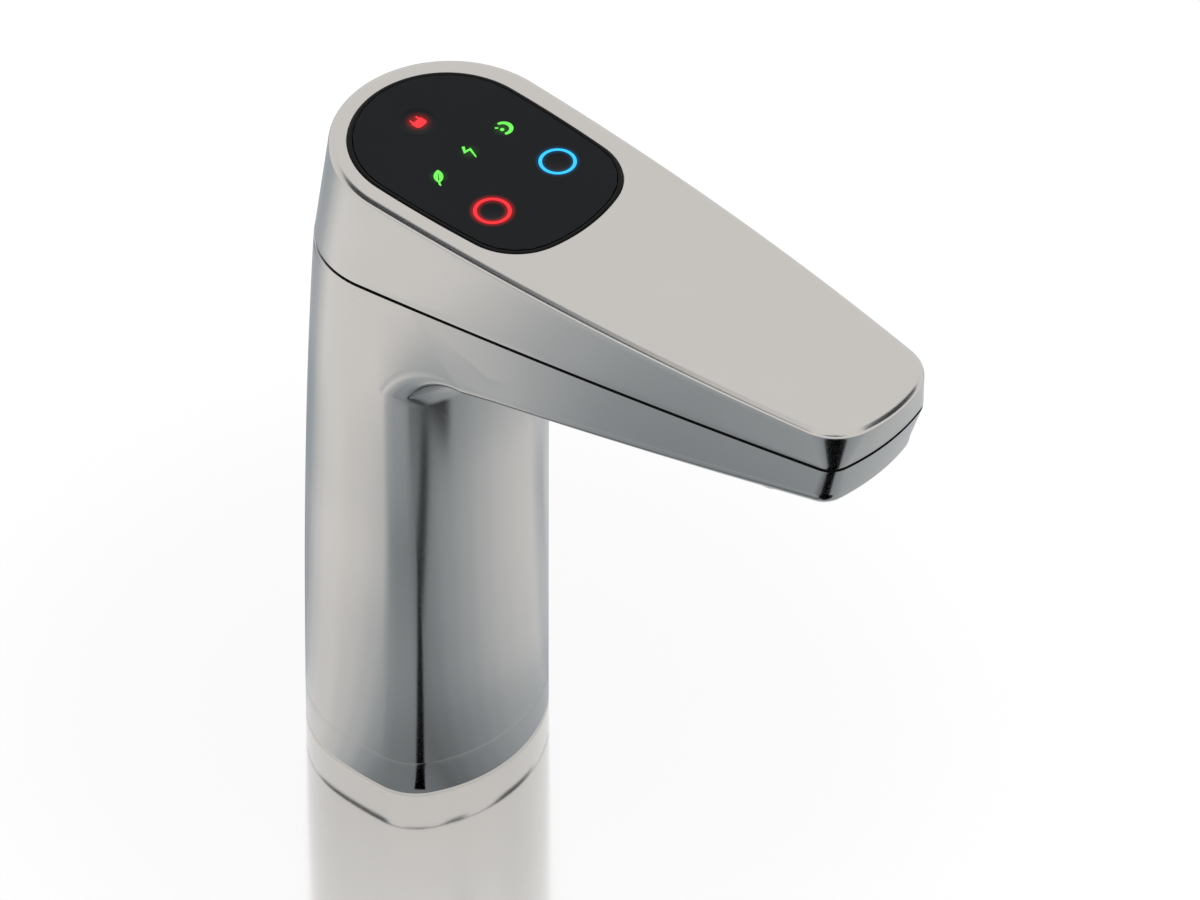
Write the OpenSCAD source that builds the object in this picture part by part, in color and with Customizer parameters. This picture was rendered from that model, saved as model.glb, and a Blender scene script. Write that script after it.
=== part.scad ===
// A boiling and chilled water tap: a cast column and arm under a top cover with a touch panel,
// turning on a threaded spigot that is clamped through the worktop.
// Z is up, the worktop's face is at zero, and the arm points towards -Y.

/* [Column foot] */
// How much smaller the radius of the column's back is at the worktop than at the seam
foot_in = 0.6; // [0:0.1:1]
// Front to back depth of the column at the worktop
foot_depth = 59.4; // [58.8:0.2:62]
// Direction in which the back's arc ends and the side begins, in degrees
foot_turn = -3.1; // [-5:0.1:0]
// Radius of the gentle curve of the column's side
foot_side_r = 98; // [90:1:130]
// Radius of the column's front corners at the worktop
foot_corner_r = 14.4; // [10:0.2:16]
// Radius of the column's front face
foot_front_r = 40.2; // [36:0.2:50]
// Height of the base ring's upper edge
ring_h = 11.6; // [11:0.1:13]
// Gap between the turning base ring and the worktop
ring_gap = 0.5; // [0.3:0.1:1]

/* [Seam between the shells] */
// How far the seam lies below the top face, on the swivel axis
seam_drop = 32; // [30:0.5:36]
// Rise of the seam for each millimetre towards the nose
seam_rise = 0.133; // [0.125:0.001:0.14]
// Radius of the back at the seam
seam_r = 29.6; // [29:0.1:30.5]
// How far the back's centre stands ahead of the swivel axis at the seam
seam_c = 5.3; // [4:0.1:6.5]
// Direction in which the back's arc ends at the seam, in degrees
seam_turn = 2.7; // [2.4:0.1:3]
// Radius of the gentle curve of the arm's side at the seam
seam_side_r = 2100; // [1800:10:2400]
// Radius of the nose's corners at the seam
seam_corner_r = 3.6; // [3:0.1:6]
// Radius of the nose's front at the seam
seam_nose_r = 53; // [45:1:75]
// How far the seam's nose falls short of the top's nose
seam_short = 2.7; // [1.5:0.1:3.5]
// Thickness of the gasket in the seam
seam_t = 0.9; // [0.6:0.1:1.2]
// How far the gasket's edge lies back from the shells' faces
seam_inset = 0.6; // [0.3:0.1:1]

/* [Top cover] */
// Height of the top face above the worktop
height = 202; // [199:0.5:206]
// Reach of the arm ahead of the swivel axis
reach = 157.6; // [152:0.2:162]
// Radius of the cover's back at the top
top_r = 30.7; // [30.2:0.1:31.4]
// How far the back's centre stands ahead of the swivel axis at the top
top_c = 10.8; // [10.2:0.1:11]
// Direction in which the back's arc ends at the top, in degrees
top_turn = 0.4; // [0:0.1:1]
// Radius of the gentle curve of the arm's side at the top
top_side_r = 938; // [850:1:1050]
// Radius of the nose's corners at the top
top_corner_r = 14; // [11:0.1:15]
// Radius of the nose's front at the top
top_nose_r = 42; // [38:1:60]
// Radius of the rounded edge of the top face
top_edge_r = 3.6; // [3:0.1:3.9]
// Thickness of the shells' walls
wall = 2.5; // [2.2:0.1:2.8]
// Thickness of the cover's top wall
top_wall = 3; // [2.6:0.1:3.4]

/* [Arm underside] */
// How far the underside's line would lie below the top face on the swivel axis
under_drop = 63; // [61:0.5:66]
// Rise of the underside for each millimetre towards the nose
under_rise = 0.242; // [0.23:0.002:0.25]
// Radius in the throat where the column turns into the arm
throat_r = 10; // [7:0.5:13]
// Radius of the rounding along the arm's lower edge
edge_r = 5; // [3.6:0.1:5.6]
// Slope of the arm's side below the seam, in degrees
draft = 7; // [4:0.5:8]
// How far the nose's lower edge lies back from the seam's nose
nose_back = 3.2; // [2.4:0.2:5]
// Radius of the nose's corners at the lower edge
low_corner_r = 5; // [4.4:0.2:9]
// Corner radius of the column's front just under the arm
neck_corner_r = 9; // [7:0.5:12]
// Power of the curve by which the column's back leans forward
lean_power = 2.35; // [2:0.05:2.8]

/* [Touch panel] */
// Radius of the back of the panel's opening
panel_r = 24.4; // [24:0.1:24.8]
// How far the centre of the panel's back stands ahead of the swivel axis
panel_c = 9.7; // [9.4:0.1:10.4]
// Front end of the panel's opening, ahead of the swivel axis
panel_end = 56.9; // [56:0.1:60]
// Direction in which the arc of the panel's back ends, in degrees
panel_turn = -1.1; // [-2:0.1:0]
// Radius of the gentle curve of the panel's side
panel_side_r = 363; // [300:1:450]
// Radius of the panel's front corners
panel_corner_r = 16.2; // [14:0.1:18]
// Radius of the panel's front
panel_front_r = 45; // [40:1:50]
// Thickness of the panel
panel_t = 1.8; // [1.6:0.1:2.2]
// Width of the dark seal around the panel
rim_w = 1.3; // [1.1:0.1:1.5]
// Thickness of the seal under the panel
seal_t = 1; // [0.8:0.1:1.2]
// Distance of the two touch rings from the middle line
ring_x = 12; // [11.6:0.1:12.2]
// Distance of the two touch rings ahead of the swivel axis
ring_f = 35.8; // [35:0.1:36.6]
// Mean radius of a touch ring
ring_r = 4.3; // [4:0.1:4.4]
// Width of a touch ring's lit line
ring_w = 0.9; // [0.6:0.1:1]
// Depth of the dished finger places
dish_d = 0.4; // [0.2:0.05:0.5]
// Radius of the dished place over the lock sign
lock_r = 4.8; // [4.4:0.1:5]
// Distance of the lock sign ahead of the swivel axis
lock_f = 0.3; // [0:0.1:1]
// Distance of the three small signs from the middle line
sign_x = 12; // [11.6:0.1:12.2]
// Distance of the three small signs ahead of the swivel axis
sign_f = 17.6; // [17:0.1:18.2]

/* [Swivel and worktop fixing] */
// Radius of the spigot's post and of its threaded shank
post_r = 16; // [15.6:0.1:16.2]
// Radius of the bore through the spigot
spigot_bore_r = 12; // [11.6:0.1:12.4]
// Height of the top of the spigot's post
post_h = 42; // [40:0.5:46]
// Length of the threaded shank below the worktop's face
shank_l = 62; // [58:1:70]
// Radius of the spigot's flange
flange_r = 24.5; // [23.8:0.1:24.8]
// Top of the spigot's flange above the worktop
flange_h = 4; // [3.6:0.1:4.2]
// Thickness of the seal between flange and worktop
seat_t = 1.2; // [0.8:0.1:1.4]
// Thickness of the worktop that the clamp is shown on
worktop_t = 30; // [12:1:38]
// How far the tap turns to each side, in degrees
swivel_half = 60; // [30:1:75]
// Radial running clearance of the bushes on the post
run = 0.05; // [0.02:0.01:0.08]

/* [Water ways] */
// Outer radius of the boiling water tube
boiling_r = 4; // [3.8:0.1:4.1]
// Outer radius of the chilled water tube
chilled_r = 3.2; // [3:0.1:3.6]
// Wall thickness of both tubes
tube_wall = 0.8; // [0.6:0.1:1]
// Distance of each tube's axis from the middle line
tube_x = 5.2; // [5:0.1:5.6]
// Radius of the tubes' bend into the arm
bend_r = 22; // [20:0.5:24]
// Distance of the outlet's centre ahead of the swivel axis
outlet_f = 120; // [116:0.5:124]
// Outer radius of the outlet nozzle
nozzle_r = 8.2; // [8:0.1:8.8]
// How far the nozzle stands out of the underside
nozzle_h = 8.8; // [7:0.1:10]

/* [Hidden] */
$fn = 64;
big = 400;
cut = 1;
fit = 0.05;

// ---- outlines ----
// An outline is symmetric about the middle line and has four arcs on each side: back, side, corner, front.
// It is [back radius, back centre, turn, side radius, front end, corner radius, front radius].
seam_z = height - seam_drop;
under_z = height - under_drop;
foot_r = seam_r - foot_in;
foot = [foot_r, foot_r - foot_depth / 2, foot_turn, foot_side_r, foot_depth / 2, foot_corner_r, foot_front_r];
seam = [seam_r, seam_c, seam_turn, seam_side_r, reach - seam_short, seam_corner_r, seam_nose_r];
top = [top_r, top_c, top_turn, top_side_r, reach, top_corner_r, top_nose_r];
panel = [panel_r, panel_c, panel_turn, panel_side_r, panel_end, panel_corner_r, panel_front_r];
// half width at which an outline's middle edge is cut flat
sliver = 0.4;
// steps along the front, corner, side and back of half an outline
steps = [3, 4, 3, 7];
function mix(a, b, k) = a + (b - a) * k;
function smooth(k) = let (c = min(max(k, 0), 1)) c * c * (3 - 2 * c);
function inset(o, e) = [o[0] - e, o[1], o[2], o[3] - e, o[4] - e, o[5] - e, o[6] - e];
function between(a, b, k) = [for (i = [0:6]) i == 3 ? 1 / mix(1 / a[3], 1 / b[3], k) : mix(a[i], b[i], k)];
function side_c(o) = [0, o[1]] + (o[0] - o[3]) * [cos(o[2]), sin(o[2])];
function front_c(o) = [0, o[4] - o[6]];
function corner_c(o) = let (p = side_c(o), q = front_c(o), r = o[3] - o[5], s = o[6] - o[5], d = norm(q - p),
    a = (r * r - s * s + d * d) / (2 * d), u = (q - p) / d) p + a * u + sqrt(r * r - a * a) * [-u[1], u[0]];
function corner_from(o) = let (v = corner_c(o) - side_c(o)) atan2(v[1], v[0]);
function corner_to(o) = let (v = corner_c(o) - front_c(o)) atan2(v[1], v[0]);
function arc(c, r, a0, a1, n, i0 = 0) = [for (i = [i0:n]) let (a = mix(a0, a1, i / n))
    c + r * [cos(a), sin(a)]];
// half an outline as points, from the front's middle to the back's middle
function half(o, n = steps) = concat(arc(front_c(o), o[6], 90, corner_to(o), n[0]),
    arc(corner_c(o), o[5], corner_to(o), corner_from(o), n[1], 1),
    arc(side_c(o), o[3], corner_from(o), o[2], n[2], 1),
    arc([0, o[1]], o[0], o[2], -90 + asin(sliver / o[0]), n[3], 1));
function mirrored(h) = concat([for (i = [len(h) - 1:-1:1]) h[i]], [h[0]],
    [for (i = [1:len(h) - 1]) [for (j = [0:len(h[i]) - 1]) j == 0 ? -h[i][0] : h[i][j]]]);
// half width of an outline at the distance f ahead of the swivel axis
function half_width(o, f) = f < o[1] + o[0] * sin(o[2])
    ? sqrt(max(o[0] * o[0] - (f - o[1]) * (f - o[1]), sliver * sliver))
    : side_c(o)[0] + sqrt(o[3] * o[3] - (f - side_c(o)[1]) * (f - side_c(o)[1]));

// ---- helpers ----
// place a child at x beside the middle line, f ahead of the swivel axis and z above the worktop
module at(x = 0, f = 0, z = 0) { translate([x, -f, z]) children(); }
module both() { for (s = [-1, 1]) scale_x(s) children(); }
module scale_x(s) { if (s > 0) children(); else mirror([1, 0, 0]) children(); }
module rod(r, z0, z1) { translate([0, 0, z0]) cylinder(r = r, h = z1 - z0); }
module tube(r_out, r_in, z0, z1) {
    difference() {
        rod(r_out, z0, z1);
        rod(r_in, z0 - cut, z1 + cut);
    }
}
// an upright slab with the shape of an outline
module slab(o, z0, z1) {
    translate([0, 0, z0]) linear_extrude(z1 - z0) polygon([for (p = mirrored(half(o))) [p[0], -p[1]]]);
}
// a closed skin through rings of points, each ring symmetric about the middle line
module skin(rings) {
    n = len(rings[0]);
    last = (len(rings) - 1) * n;
    lower = function (i, j) [i * n + j, (i + 1) * n + (j + 1) % n, (i + 1) * n + j];
    upper = function (i, j) [i * n + j, i * n + (j + 1) % n, (i + 1) * n + (j + 1) % n];
    sides = [for (i = [0:len(rings) - 2], j = [0:n - 1], t = [lower(i, j), upper(i, j)]) t];
    // the first and last ring are closed by strips, and by a fan over the points around the front's middle
    m = (n - 1) / 2 - steps[0] - 1;
    start = concat([for (j = [0:m - 1], t = [[j, n - 1 - j, j + 1], [j + 1, n - 1 - j, n - 2 - j]]) t],
        [for (j = [m + 1:n - 2 - m]) [m, j + 1, j]]);
    end = [for (t = start) [last + t[0], last + t[2], last + t[1]]];
    polyhedron([for (r = rings, p = r) [p[0], -p[1], p[2]]], concat(sides, start, end));
}
// a screw's size is [radius, head radius, head height]; both kinds have a hexagon socket
big_screw = [1.5, 2.8, 2];
small_screw = [1, 1.9, 1.3];
screw_clear = 0.2;
// a flat headed screw that points up from z0, with its head below
module screw_up(size, z0, z1) {
    rod(size[0], z0, z1);
    difference() {
        rod(size[1], z0 - size[2], z0);
        rod(size[0] * 0.8, z0 - size[2] - cut, z0 - size[2] / 2, $fn = 6);
    }
}
module screw_down(size, z0, z1) { translate([0, 0, z0]) mirror([0, 0, 1]) screw_up(size, 0, z0 - z1); }

// ---- lower shell: column, throat and arm as one loft ----
function seam_at(f) = seam_z + seam_rise * f;
function under_at(f) = under_z + under_rise * f;
under_a = atan(under_rise);
throat_f = foot_depth / 2 + throat_r;
throat_z = under_at(throat_f - throat_r * sin(under_a)) - throat_r * cos(under_a);
// the wall follows the foot's outline at the worktop and the seam's outline at the seam
blend_from = 12;
blend_to = 46;
function lean(f, z) = min(pow(max(z, 0) / seam_at(f), lean_power), 1);
function slope_in(f, z) = max(seam_at(f) - z, 0) * tan(draft);
function wall_outline(z, e) = inset(between(foot, seam, lean(seam_c, z)), e);
function wall_x(f, z, e) = mix(half_width(wall_outline(z, e), f),
    half_width(inset(seam, e), f) - slope_in(f, z), smooth((f - blend_from) / (blend_to - blend_from)));
// a place on the wall: 0 at the back's middle, 1 at the back arc's end, from there on millimetres forward
function wall_pt(s, z, e) = let (o = wall_outline(z, e), a = mix(-90 + asin(sliver / o[0]), o[2], min(s, 1)),
    f = o[1] + o[0] * sin(a) + max(s - 1, 0)) [s <= 1 ? o[0] * cos(a) : wall_x(f, z, e), f, z];
function place_of(f, z, e) = let (o = wall_outline(z, e)) 1 + f - (o[1] + o[0] * sin(o[2]));
// how far along the way from the front corner to the far end each point of a section lies
function shares(s) = [for (i = [1:steps[2]]) (s - mix(s, 1, i / steps[2])) / s,
    for (i = [1:steps[3]]) (s - mix(1, 0, i / steps[3])) / s];
// half a level section of the column
function column_half(z, e) = let (w = wall_outline(z, 0), k = smooth(z / throat_z),
    o = [w[0], w[1], w[2], w[3], foot[4], mix(foot_corner_r, neck_corner_r, k), foot_front_r])
    [for (p = half(inset(o, e))) [p[0], p[1], z]];
// half a section through the throat, in the plane that leans by the angle t, up to the wall place far
function throat_half(t, far, e) = let (w = [-cos(t), sin(t)], k = t / (90 - under_a),
    rc = max(mix(neck_corner_r, edge_r, k) - e, 1), rf = foot_front_r / max(1 - k, 0.02) - e,
    o = [throat_f, throat_z] + (throat_r + e) * w,
    bulge = function (x) rf - (rf - rc) * cos(asin(x / (rf - rc))),
    corner_x = function (s) wall_x((o + s * w)[0], (o + s * w)[1], e) - rc,
    x = corner_x(bulge(corner_x(rc))), a1 = asin(x / (rf - rc)), s = bulge(x), edge = o + s * w,
    place = place_of(edge[0], edge[1], e))
    concat([for (i = [0:steps[0]]) let (a = a1 * i / steps[0], q = o + (rf - rf * cos(a)) * w)
            [rf * sin(a), q[0], q[1]]],
        [for (i = [1:steps[1]]) let (a = mix(a1, 90, i / steps[1]), q = o + (s - rc * cos(a)) * w)
            [x + rc * sin(a), q[0], q[1]]],
        [for (g = shares(place)) wall_pt(mix(place, far[0], g), mix(edge[1], far[1], g), e)]);
function turned(a, b, k) = let (w = acos(a * b)) (sin((1 - k) * w) * a + sin(k * w) * b) / sin(w);
// half a section of the arm, from the underside's middle round the lower edge at q and up the wall to p
function arm_half(p, q, n, e, lift) = let (rc = max(edge_r - e, 1), o = q - n * rc,
    zc = under_at(o[1]) + (e + rc) / cos(under_a), c = [o[0], o[1], zc],
    down = [0, sin(under_a), -cos(under_a)], sole = c + rc * down,
    up = steps[2] + steps[3], rise = seam_at(p[1]) - zc)
    concat([for (i = [0:steps[0] - 1]) [sole[0] * i / steps[0], sole[1], sole[2]]],
        [for (i = [0:steps[1]]) c + rc * turned(down, [n[0], n[1], 0], i / steps[1])],
        [for (i = [1:up]) let (dz = (rise + lift) * i / up, v = mix(q, p, dz / rise))
            [v[0], v[1], i == up ? seam_at(v[1]) + lift : zc + dz]]);
// the arm's outline where the lower edge's rounding begins; its sides lie in by the slope there
function low_slope(f) = slope_in(f, under_at(f) + edge_r);
low_nose = seam[4] - nose_back;
low = let (e = low_slope(low_nose - low_corner_r))
    [seam[0] - e, seam[1], seam[2], seam[3] - e, low_nose, low_corner_r, seam[6] - nose_back];
// places on the seam and on the lower edge with the direction of the wall, from behind the throat to the nose
function spread(o, e) = let (c = [side_c(o), corner_c(o), front_c(o)], r = [o[3], o[5], o[6]] - [e, e, e],
    a = [asin((blend_to - c[0][1]) / o[3]), corner_from(o), corner_to(o), 90 - asin(sliver / o[6])])
    concat([[c[0], r[0], a[0]]], [for (j = [0:2], i = [1:4]) [c[j], r[j], mix(a[j], a[j + 1], i / 4)]]);
function arm_line(e) = let (hi = spread(seam, e), lo = spread(low, e)) [for (i = [0:len(hi) - 1])
    let (n = [cos(lo[i][2]), sin(lo[i][2])], q = lo[i][0] + lo[i][1] * n)
    [hi[i][0] + hi[i][1] * [cos(hi[i][2]), sin(hi[i][2])],
    i < 4 ? q - (low_slope(q[1]) - (seam[3] - low[3])) * n : q, n]];
// where the throat's sections end: three on the back's middle line, then along the seam
back_stops = 3;
seam_stops = [0.35, 0.7, 1, 18];
fan = back_stops + len(seam_stops);
function far_end(i, e, lift) = i <= back_stops
    ? [0, mix(throat_z, seam_at(seam_c - seam_r) + lift, i / back_stops)]
    : let (s = seam_stops[i - back_stops - 1]) [s, seam_at(wall_pt(s, seam_z, e)[1]) + lift];
function shell_rings(z0, e, lift) = [for (h = concat(
    [for (i = [0:6]) column_half(mix(z0, throat_z, i / 6), e)],
    [for (i = [1:fan]) throat_half((90 - under_a) * i / fan, far_end(i, e, lift), e)],
    [for (p = arm_line(e)) arm_half(p[0], p[1], p[2], e, lift)])) mirrored(h)];

// ---- places of what holds the shells together ----
boss_r = 3.2;
screw_r = big_screw[0];
// how far a boss sinks into the wall it is cast to, and the solid end of its blind hole
boss_sink = 0.8;
boss_end = 1.5;
// the base screws stand in by these amounts from the column's front and back
base_boss_in = [20.7, 19.7];
base_boss_f = [foot_depth / 2 - base_boss_in[0], base_boss_in[1] - foot_depth / 2];
base_boss_top = ring_h + 12.4;
// the base ring's hub round the post, which the bosses beside it stay clear of
hub_bore_r = post_r + 1.4;
hub_r = hub_bore_r + 2.6;
hub_top = post_h - 2;
hub_clear = 0.5;
function base_boss_x(f) = max(half_width(inset(foot, wall), f) - boss_r + boss_sink,
    sqrt(pow(hub_r + boss_r + hub_clear, 2) - f * f));
lugs = [[19, 12], [15.4, 45.4]];
lug_r = 3.4;
lug_clear = 0.5;
lug_web = 1.9;
lug_hole_l = 14;
cover_screw_l = 11;
clip_z = 95;
clip_boss_l = 14;
clip_boss_r = 4;
clip_gap = 0.3;
clip_plate_t = 4;
clip_wall_x = min(wall_x(0, clip_z - clip_boss_l, wall), wall_x(0, clip_z + clip_plate_t, wall));
clip_boss_x = clip_wall_x - clip_boss_r + boss_sink;
recess_gap = 0.1;
thrust_t = 1;
recess_z = flange_h + thrust_t + recess_gap;
stem_r = 7;
stem_clear = 0.3;

module body_shell() {
    color("#8f9492") difference() {
        union() {
            difference() {
                skin(shell_rings(ring_h, 0, -seam_t / 2));
                skin(shell_rings(ring_h - cut, wall, cut));
            }
            // bosses for the base ring's screws
            for (f = base_boss_f) both() at(base_boss_x(f), f) rod(boss_r, ring_h, base_boss_top);
            // posts for the cover's screws, the rear ones on a web from the wall
            both() at(lugs[0][0], lugs[0][1]) {
                rod(lug_r, throat_z, seam_at(lugs[0][1] - lug_r) - seam_t / 2);
                translate([0, -lug_web / 2, throat_z])
                    cube([seam_r - wall / 2 - lugs[0][0], lug_web, seam_at(0) - throat_z - seam_t]);
            }
            both() at(lugs[1][0], lugs[1][1])
                rod(lug_r, under_at(lugs[1][1]) + wall / 2, seam_at(lugs[1][1] - lug_r) - seam_t / 2);
            // bosses for the tube clip
            both() at(clip_boss_x, 0) rod(clip_boss_r, clip_z - clip_boss_l, clip_z);
        }
        for (f = base_boss_f) both() at(base_boss_x(f), f)
            rod(screw_r + fit, ring_h - cut, base_boss_top - boss_end);
        for (l = lugs) both() at(l[0], l[1])
            rod(screw_r + fit, seam_at(l[1]) - lug_hole_l, seam_at(l[1]) + cut);
        both() at(clip_boss_x, 0) rod(screw_r + fit, clip_z - clip_boss_l + boss_end, clip_z + cut);
        outlet_place() rod(stem_r + stem_clear, -big / 40, big / 40);
    }
}
// the frame of the outlet: on the underside at the outlet's centre, square to the underside
module outlet_place() { at(0, outlet_f, under_at(outlet_f)) rotate([-under_a, 0, 0]) children(); }

module seam_gasket() {
    lo = inset(seam, seam_inset);
    li = inset(seam, wall);
    up = seam_t / 2 - fit;
    level = function (o, dz) mirrored([for (p = half(o)) [p[0], p[1], seam_at(p[1]) + dz]]);
    color("#101214") difference() {
        skin([level(lo, -up), level(lo, up)]);
        skin([level(li, -seam_t), level(li, seam_t)]);
    }
}

// ---- top cover ----
cover_steps = [5, 5, 5, 12];
function cover_ring(k, e, z_at) = mirrored([for (p = half(inset(between(seam, top, k), e), cover_steps))
    [p[0], p[1], mix(seam_at(p[1]) + seam_t / 2, height - top_edge_r, k) + z_at]]);
ledge_w = 3.5;
ledge_t = 3.2;
ledge_z = height - panel_t - seal_t;
// the walls of the opening's step are a little thicker than the opening is wide
step_wall = 1.4;
edge_steps = 3;
head_hole_r = big_screw[1] + screw_clear;
head_hole_z = ledge_z - big_screw[2] - screw_clear;
module top_cover() {
    edge = [for (i = [0:edge_steps]) let (a = 90 * i / edge_steps)
        cover_ring(1, top_edge_r * (1 - cos(a)), top_edge_r * sin(a))];
    color("#b9b6b1") difference() {
        union() {
            difference() {
                skin(concat([cover_ring(0, 0, 0), cover_ring(0.5, 0, 0)], edge));
                skin([cover_ring(0, wall, -seam_t), cover_ring(0.5, wall, 0),
                    cover_ring(1, wall, top_edge_r - top_wall)]);
            }
            slab(inset(panel, -step_wall), ledge_z - ledge_t, height - top_wall + fit);
            for (l = lugs) both() at(l[0], l[1]) rod(lug_r, seam_at(l[1] + lug_r) + seam_t / 2, ledge_z);
        }
        slab(panel, ledge_z, height + cut);
        difference() {
            slab(inset(panel, ledge_w), ledge_z - ledge_t - cut, ledge_z + cut);
            for (l = lugs) both() at(l[0], l[1]) rod(lug_r, 0, ledge_z);
        }
        for (l = lugs) both() at(l[0], l[1]) {
            rod(screw_r + screw_clear, 0, height);
            rod(head_hole_r, head_hole_z, height);
        }
    }
}

module cover_screws() {
    color("#a8abad") for (l = lugs) both() at(l[0], l[1])
        screw_down(big_screw, head_hole_z, seam_at(l[1]) - cover_screw_l);
}

// ---- touch panel and what lies under it ----
seal_low = 0.15;
module panel_seal() {
    color("#050607") difference() {
        slab(panel, ledge_z, height - seal_low);
        slab(inset(panel, rim_w), ledge_z + seal_t, height + cut);
        slab(inset(panel, ledge_w - fit), ledge_z - cut, height + cut);
    }
}
// a shallow dish of radius r and depth d in the top face
module finger_dish(r, d) {
    translate([0, 0, height + (r * r - d * d) / (2 * d)]) sphere(r = (r * r + d * d) / (2 * d), $fn = 96);
}
lens_t = 0.5;
ring_in = ring_r - ring_w / 2;
ring_out = ring_r + ring_w / 2;
dish_rim = 0.2;
module touch_panel() {
    color("#202325") difference() {
        slab(inset(panel, rim_w), ledge_z + seal_t, height);
        both() at(ring_x, ring_f) {
            tube(ring_out, ring_in, height - lens_t, height + cut);
            finger_dish(ring_in - dish_rim, dish_d);
        }
        at(0, lock_f) finger_dish(lock_r, dish_d);
    }
}
module ring_lens() { tube(ring_out, ring_in, height - lens_t, height); }
module boiling_ring_lens() { color("#ff2a1e") at(-ring_x, ring_f) ring_lens(); }
module chilled_ring_lens() { color("#22a7ff") at(ring_x, ring_f) ring_lens(); }

// the lock, the three small signs and the two rings, each over a well for its lamp
signs = [[0, lock_f], [0, sign_f], [-sign_x, sign_f], [sign_x, sign_f], [-ring_x, ring_f], [ring_x, ring_f]];
big_well_r = ring_out + 0.45;
small_well_r = 2.6;
function well_r(i) = i == 0 || i > 3 ? big_well_r : small_well_r;
frame_z = ledge_z - ledge_t;
flange_t = 2.4;
flange_out = 1.2;
frame_gap = 0.5;
frame_under = frame_z - flange_t - 1.2;
frame_screw_in = 0.9;
frame_screw_f = [26, -4];
function frame_screw_x(f) = half_width(inset(panel, frame_screw_in), f);
board_t = 1.6;
board_inset = 8.2;
board_screw_at = [[0, 9.4], [-7, 27], [7, 27], [0, 44]];
board_screw_l = 4.5;
module light_frame() {
    color("#e8e8e6") difference() {
        union() {
            slab(inset(panel, -flange_out), frame_z - flange_t, frame_z);
            slab(inset(panel, ledge_w + frame_gap), frame_under, ledge_z + seal_t - 2 * fit);
        }
        for (i = [0:len(signs) - 1]) at(signs[i][0], signs[i][1]) rod(well_r(i), frame_under - cut, height);
        for (l = lugs) both() at(l[0], l[1]) rod(lug_r + lug_clear, frame_under - cut, height);
        for (f = frame_screw_f) both() at(frame_screw_x(f), f)
            rod(small_screw[0] + fit, frame_under - cut, height);
        for (p = board_screw_at) at(p[0], p[1])
            rod(small_screw[0] + fit, frame_under - cut, frame_under + board_screw_l + fit);
    }
}
module frame_screws() {
    color("#a8abad") for (f = frame_screw_f) both() at(frame_screw_x(f), f)
        screw_up(small_screw, frame_z - flange_t, frame_z);
}
board_top = frame_under;
module touch_board() {
    color("#1d5a34") difference() {
        slab(inset(panel, board_inset), board_top - board_t, board_top);
        for (p = board_screw_at) at(p[0], p[1])
            rod(small_screw[0] + 2 * fit, board_top - board_t - cut, board_top + cut);
        for (l = lugs) both() at(l[0], l[1])
            rod(lug_r + lug_clear, board_top - board_t - cut, board_top + cut);
    }
}
module board_screws() {
    color("#a8abad") for (p = board_screw_at) at(p[0], p[1])
        screw_up(small_screw, board_top - board_t, board_top + board_screw_l);
}
led = [2.8, 2.8, 1];
module indicator_leds() {
    color("#f2e9c9") for (p = signs) at(p[0], p[1], board_top)
        translate([-led[0] / 2, -led[1] / 2, 0]) cube(led);
}

// ---- signal lead ----
lead_r = 1.4;
lead_f = -8.4;
lead_bend = 6;
plug = [8, 6, 4.4];
plug_f = 4;
plug_z = board_top - board_t - plug[2];
lead_end = -shank_l - 2;
module board_connector() {
    color("#f0efe9") at(0, plug_f, plug_z) translate([-plug[0] / 2, -plug[1] / 2, 0]) cube(plug);
}
module signal_lead() {
    lead_z = plug_z + plug[2] / 2;
    back = plug_f - plug[1] / 2;
    color("#26282a") union() {
        at(0, back, lead_z) rotate([-90, 0, 0]) cylinder(r = lead_r, h = back - lead_f - lead_bend);
        at(0, lead_f + lead_bend, lead_z - lead_bend) rotate([0, 0, 90]) rotate([90, 0, 0])
            rotate_extrude(angle = 90) translate([lead_bend, 0]) circle(r = lead_r);
        at(0, lead_f) rod(lead_r, lead_end, lead_z - lead_bend);
    }
}
socket = [8, 6.8, 12];
socket_wall = 1;
socket_depth = 7;
module lead_socket() {
    inner = [socket[0] - 2 * socket_wall, socket[1] - 2 * socket_wall, socket_depth + cut];
    color("#e6e4da") at(-socket[0] / 2, lead_f + socket[1] / 2, lead_end - socket[2]) difference() {
        cube(socket);
        translate([socket_wall, socket_wall, -cut]) cube(inner);
    }
}

// ---- water tubes, clip and outlet ----
tube_lift = wall + 8.5;
inlet_l = 5;
manifold = [27, 22, 13];
manifold_back = 11;
bend_end_f = bend_r * (1 - sin(under_a));
bend_z = under_at(bend_end_f) + tube_lift / cos(under_a) - bend_r * cos(under_a);
// below the spigot each tube has a tail for its hose, which pushes on as far as a bead
tail_l = 12;
bead_t = 1.4;
bead_h = 0.7;
tail_gap = 0.6;
tail_z = -shank_l - tail_gap - bead_t - tail_l;
// the way of a water tube: up through the spigot, round the bend and along the arm
module tube_path(r, over) {
    run_l = (outlet_f - bend_end_f) / cos(under_a) - tube_lift * tan(under_a) - manifold_back + inlet_l;
    union() {
        rod(r, tail_z - over, bend_z);
        at(0, bend_r, bend_z) rotate([90, 0, 90]) rotate_extrude(angle = 90 - under_a) translate([bend_r, 0])
            circle(r = r);
        at(0, bend_end_f, bend_z + bend_r * cos(under_a)) rotate([90 - under_a, 0, 0])
            cylinder(r = r, h = run_l + over);
    }
}
module bent_tube(r) {
    difference() {
        union() {
            tube_path(r, 0);
            rod(r + bead_h, tail_z + tail_l, tail_z + tail_l + bead_t);
        }
        tube_path(r - tube_wall, cut);
    }
}
module boiling_tube() { color("#c77b4a") at(-tube_x) bent_tube(boiling_r); }
module chilled_tube() { color("#c9ccce") at(tube_x) bent_tube(chilled_r); }
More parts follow.
